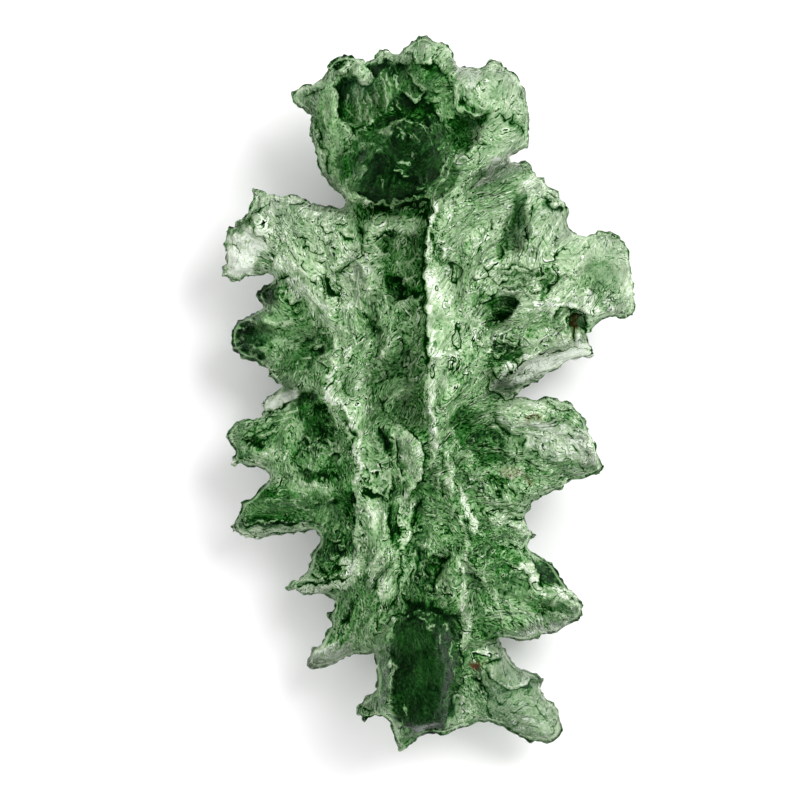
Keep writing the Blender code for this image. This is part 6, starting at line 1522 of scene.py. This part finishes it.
class Sheet:
    """A tree of nodes, such as a material's."""

    def __init__(self, tree):
        self.tree = tree

    def put(self, socket, value):
        if isinstance(value, Socket):
            self.tree.links.new(value.socket, socket)
        else:
            socket.default_value = value

    def node(self, kind, settings, *values, result=0, **named):
        """A node of this type, with its settings made first and then its inputs filled."""
        made = self.tree.nodes.new("ShaderNode" + kind)
        for key, value in settings.items():
            setattr(made, key, value)
        for place, value in enumerate(values):
            self.put(made.inputs[place], value)
        for name, value in named.items():
            self.put(made.inputs[name.replace("_", " ")], value)
        return Socket(self, made.outputs[result])

    def between(self, share, first, second):
        """The mix of two colours."""
        mix = self.node("Mix", {"data_type": "RGBA"}, share, result=2)
        self.put(mix.owner.inputs[6], first)
        self.put(mix.owner.inputs[7], second)
        return mix

    def along(self, share, *stops):
        """A colour read off a row of stops, each a place from 0 to 1 and a colour."""
        result = self.node("ValToRGB", {}, share)
        elements = result.owner.color_ramp.elements
        while len(elements) < len(stops):
            elements.new(0.5)
        for element, (place, colour) in zip(elements, stops):
            element.position = place
            element.color = (*colour, 1)
        return result


def new_material(name):
    material = bpy.data.materials.new(name)
    material.use_nodes = True
    return material, Sheet(material.node_tree)


# %% [markdown]
# ## Green glass with an etched skin
#
# Two glasses are mixed. The first is clear: light passes into it, bends, and loses its red and blue
# on the way through, so that a wing looks pale green and a boss black. The second is the frost, the
# etched outer hundredth of a millimetre, which scatters light back before it gets in. The frost
# note on each point says how much there is of each. Fine noise along the grain breaks both up into
# the silky streaks of the stone, and a bump of the same noise makes them catch the light.

# %% Reading the notes
glass, sheet = new_material("etched_green_glass")


def note(name, result="Fac"):
    return sheet.node("Attribute", {"attribute_name": name}, result=result)


def fading(value, start, end):
    """1 before start, 0 after end, and soft between them."""
    return sheet.node("MapRange", {"interpolation_type": "SMOOTHSTEP"}, value, start, end, 1.0, 0.0)


# %% [markdown]
# The finest marks come from noise. It is read in the grain fields as well as in space, so it is drawn
# out along the furrows. Silk is the widest and longest, then lumps and fibres, then hairs and grit
# that are finer than the net's triangles.

# %% Noise drawn out along the grain
place = sheet.node("TexCoord", {}, result="Object")


def streaks(across, along, detail):
    """Noise from about -0.25 to 0.25, stretched where across is large against along."""
    stretched = sheet.node("VectorMath", {"operation": "SCALE"}, note("grain", "Vector"), Scale=across)
    even = sheet.node("VectorMath", {"operation": "SCALE"}, place, Scale=along)
    where = sheet.node("VectorMath", {"operation": "ADD"}, stretched, even)
    return sheet.node("TexNoise", {}, Vector=where, Scale=1.0, Detail=detail, Roughness=0.55) - 0.5


silk = streaks(0.8, 250.0, 1.5)
lumps = streaks(0.35, 1000.0, 2.5)
fibres = streaks(3.0, 1500.0, 1.5)
hairs = streaks(8.0, 3200.0, 2.0)
grit = streaks(2.0, 6500.0, 1.5)

# %% [markdown]
# Etching leaves flakes that overlap like scales. A saw-tooth of the noise has that shape, and it is
# painted in as light and shade: each flake grows lighter towards its lip, a painted highlight, and
# ends in a sharp step with a black crack of painted shade at its foot. The bump further down raises
# the same steps. A second noise breaks the cracks off here and there, as unbroken ones would look
# like contour lines on a map.

# %% Flakes with their cracks and lips
def flakes(noise, steps):
    return sheet.node("Math", {"operation": "FRACT"}, noise * steps + 7)


crinkle = note("crinkle")
flow = flakes(silk + fibres * 0.15, 7.0)
cross = flakes(lumps + fibres * 0.2, 4.0)
broken = (fibres * 5 + 0.5).kept()
patchy = (lumps * 5 + 0.6).kept()
# plates is painted shading across each flake, lips its painted highlight, cracks painted shade at its foot
plates = ((flow - 0.5) * patchy + (cross - 0.5) * 0.7) * crinkle
cracks = (fading(flow, 0.05, 0.15) * patchy + fading(cross, 0.03, 0.09) * broken) * crinkle
lips = ((1 - fading(flow, 0.84, 0.94)) * patchy + (1 - fading(cross, 0.9, 0.96)) * broken) * crinkle
pricks = (fading(grit, -0.16, -0.08) + fading(hairs, -0.16, -0.08)) * crinkle

# %% Painted shade at the feet and painted highlights on the edges of the drawn ridges
feet = fading(note("dark_line").size(), 0.02, 0.075) * note("near_dark")
edges = fading(note("bright_line").size(), 0.02, 0.1) * note("near_bright")

# %% [markdown]
# The colours run from the black-green of deep glass to the greenish white of thin glass and of the
# painted highlights on edges. In between lie a bottle green and a yellowish sage. The greens are what
# the frost shows, the tints what the clear glass lets through.

# %% Colours of the skin
GREENS = (
    (0.00, (0.0006, 0.0090, 0.0008)),
    (0.16, (0.0055, 0.0600, 0.0040)),
    (0.30, (0.0290, 0.1200, 0.0240)),
    (0.43, (0.0850, 0.2050, 0.0640)),
    (0.54, (0.1560, 0.2830, 0.1220)),
    (0.63, (0.2050, 0.3350, 0.1680)),
    (0.73, (0.2750, 0.4000, 0.2250)),
    (0.83, (0.3500, 0.4700, 0.2900)),
    (0.94, (0.4500, 0.5500, 0.3700)),
    (1.00, (0.6800, 0.7400, 0.6500)),
)
TINTS = (
    (0.00, (0.01, 0.10, 0.02)),
    (0.10, (0.03, 0.24, 0.04)),
    (0.35, (0.25, 0.62, 0.24)),
    (0.60, (0.78, 0.94, 0.62)),
    (1.00, (1.00, 1.00, 0.95)),
)

# %% [markdown]
# The marks shift the tone before its colour is read, the flakes' painted light and shade among them.
# The drawn lines come last and are the strongest: painted shade at a foot wipes out nearly
# everything, a painted highlight on an edge most of it. Over thin glass the skin looks cooler and
# greyer, so there is a second row of greens with a little more red and blue, and the thickness of
# the stone mixes the two.

# %% Tone to colour
COOLER = (0.15, 0.0, 0.25)
RUST = (0.10, 0.035, 0.014, 1)

# plates, cracks and lips are the flakes' painted light and shade; fibres, hairs, grit and pricks are random
# tone
texture = (plates * 0.26 + fibres * 0.35 + hairs * 0.6 + grit * 0.6) * (crinkle * 0.7 + 0.3)
toned_and_shaded = (note("tone") + texture - cracks * 0.8 - pricks * 0.22 + lips * 0.26).kept()
shifted = (toned_and_shaded * (1 - feet * 0.95) * (1 - edges * 0.55) + edges * 0.52).kept()
cooler = []
for at, colour in GREENS:
    cooler.append((at, tuple(part * (1 + more * (1 - at**3)) for part, more in zip(colour, COOLER))))
green = sheet.between(note("thin"), sheet.along(shifted, *GREENS), sheet.along(shifted, *cooler))
rust = note("rust")
skin_colour = sheet.between(rust, green, RUST)
tint = sheet.between(rust, sheet.along(shifted, *TINTS), RUST)

# %% [markdown]
# The clear glass gets its deep colour from absorption over the way the light travels in it. The frost
# is matt and mirrors nothing. Both share one bump.

# %% Clear glass, frost and the colour of the depth
IOR = 1.49
DEPTH_COLOUR = (0.083, 0.45, 0.12, 1)
DEPTH_DENSITY = 200.0
BUMP_DEPTH = 0.0002

frost = note("frost")
groove = plates * 0.12 + fibres * 0.3 + hairs * 0.3 + grit * 0.2 - cracks * 0.1 - feet * 0.4 + edges * 0.3
bump = sheet.node("Bump", {}, Strength=0.8, Distance=BUMP_DEPTH, Height=groove, result="Normal")
clear = sheet.tree.nodes["Principled BSDF"]
clear.inputs["Transmission Weight"].default_value = 1.0
clear.inputs["IOR"].default_value = IOR
sheet.put(clear.inputs["Base Color"], tint)
sheet.put(clear.inputs["Roughness"], (frost * 0.4 + 0.08 + fibres * 0.2).kept())
sheet.put(clear.inputs["Normal"], bump)
frosted = sheet.node("BsdfPrincipled", {}, Base_Color=skin_colour, IOR=IOR, Normal=bump)
frosted.owner.inputs["Specular IOR Level"].default_value = 0.0
sheet.put(frosted.owner.inputs["Roughness"], (frost * 0.3 + 0.45).kept())
share = (frost * (1 + silk * 1.6 + fibres * 1.0) + edges * 0.3 + feet * 0.2).kept()
mixed = sheet.node("MixShader", {}, share, Socket(sheet, clear.outputs[0]), frosted)
output = sheet.tree.nodes["Material Output"]
sheet.put(output.inputs["Surface"], mixed)
depth = sheet.node("VolumeAbsorption", {}, Color=DEPTH_COLOUR, Density=DEPTH_DENSITY)
sheet.put(output.inputs["Volume"], depth)
print(len(sheet.tree.nodes), "nodes in the glass")

# %% [markdown]
# ## Into the frame
#
# The finished skin becomes the stone. It rides on the frame's one part and takes the plain solid's
# place there.

# %% The stone takes the solid's place
skin.materials.clear()
skin.materials.append(glass)
stone = bpy.data.objects.new("stone", skin)
bpy.context.scene.collection.objects.link(stone)
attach(stone, "root")
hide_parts("moldavite")
print("stone of", len(skin.polygons), "triangles")

# %% [markdown]
# ## Table, camera and light
#
# The stone lies on white paper, seen straight from above through a long lens, so that nothing leans
# outward. Most light comes from the side, which shows the relief: a bright ring of sky half-way up,
# with the zenith nearly dark. A soft lamp on the upper right throws a weak shadow to the lower left.
# Neither is mirrored on the stone, as if it was shot through a polarising filter, so the bosses
# stay black.

# %% White paper
SHEET_SIZE = 2.0
PAPER_WHITE = (0.9, 0.9, 0.9, 1)

bpy.ops.mesh.primitive_plane_add(size=SHEET_SIZE)
floor = bpy.context.object
floor.name = "floor"
paper, _ = new_material("white_paper")
white = paper.node_tree.nodes["Principled BSDF"]
white.inputs["Base Color"].default_value = PAPER_WHITE
white.inputs["Roughness"].default_value = 0.9
floor.data.materials.append(paper)

# %% The camera, straight above
LENS = 200
SENSOR = 36
VIEW = 50 * MM
CENTRE = (-1.875 * MM, -0.25 * MM)
SHARPEST = 5 * MM

camera = bpy.data.objects.new("camera", bpy.data.cameras.new("camera"))
bpy.context.scene.collection.objects.link(camera)
camera.data.lens, camera.data.sensor_width = LENS, SENSOR
camera.data.clip_start = 0.001
camera.location = (*CENTRE, LENS / SENSOR * VIEW + SHARPEST)
bpy.context.scene.camera = camera
print(f"camera {camera.location.z:.3f} m up, {VIEW / MM:.0f} mm across")

# %% A ring of sky and one soft lamp
SKY_STRENGTH = 1.6
SKY = ((0.0, 0.55), (0.35, 1.0), (0.75, 1.0), (0.92, 0.14), (1.0, 0.10))
LAMP_POWER = 0.66
LAMP_SIZE = 0.15
LAMP_DISTANCE = 0.3
LAMP_TOWARDS = Vector((0.62, 0.5, 1.0)).normalized()

bpy.context.scene.view_settings.view_transform = "Standard"
world = bpy.data.worlds.new("studio")
bpy.context.scene.world = world
world.use_nodes = True
sky = Sheet(world.node_tree)
direction = sky.node("TexCoord", {}, result="Generated")
elevation = sky.node("SeparateXYZ", {}, direction, result="Z")
glow = sky.along(elevation, *((place, (level,) * 3) for place, level in SKY))
background = world.node_tree.nodes["Background"]
sky.put(background.inputs["Color"], glow)
background.inputs["Strength"].default_value = SKY_STRENGTH
world.cycles_visibility.glossy = False

lamp = bpy.data.objects.new("lamp", bpy.data.lights.new("lamp", "AREA"))
bpy.context.scene.collection.objects.link(lamp)
lamp.data.energy, lamp.data.size = LAMP_POWER, LAMP_SIZE
lamp.location = LAMP_DISTANCE * LAMP_TOWARDS
lamp.rotation_euler = LAMP_TOWARDS.to_track_quat("Z", "Y").to_euler()
lamp.visible_glossy = lamp.visible_transmission = False
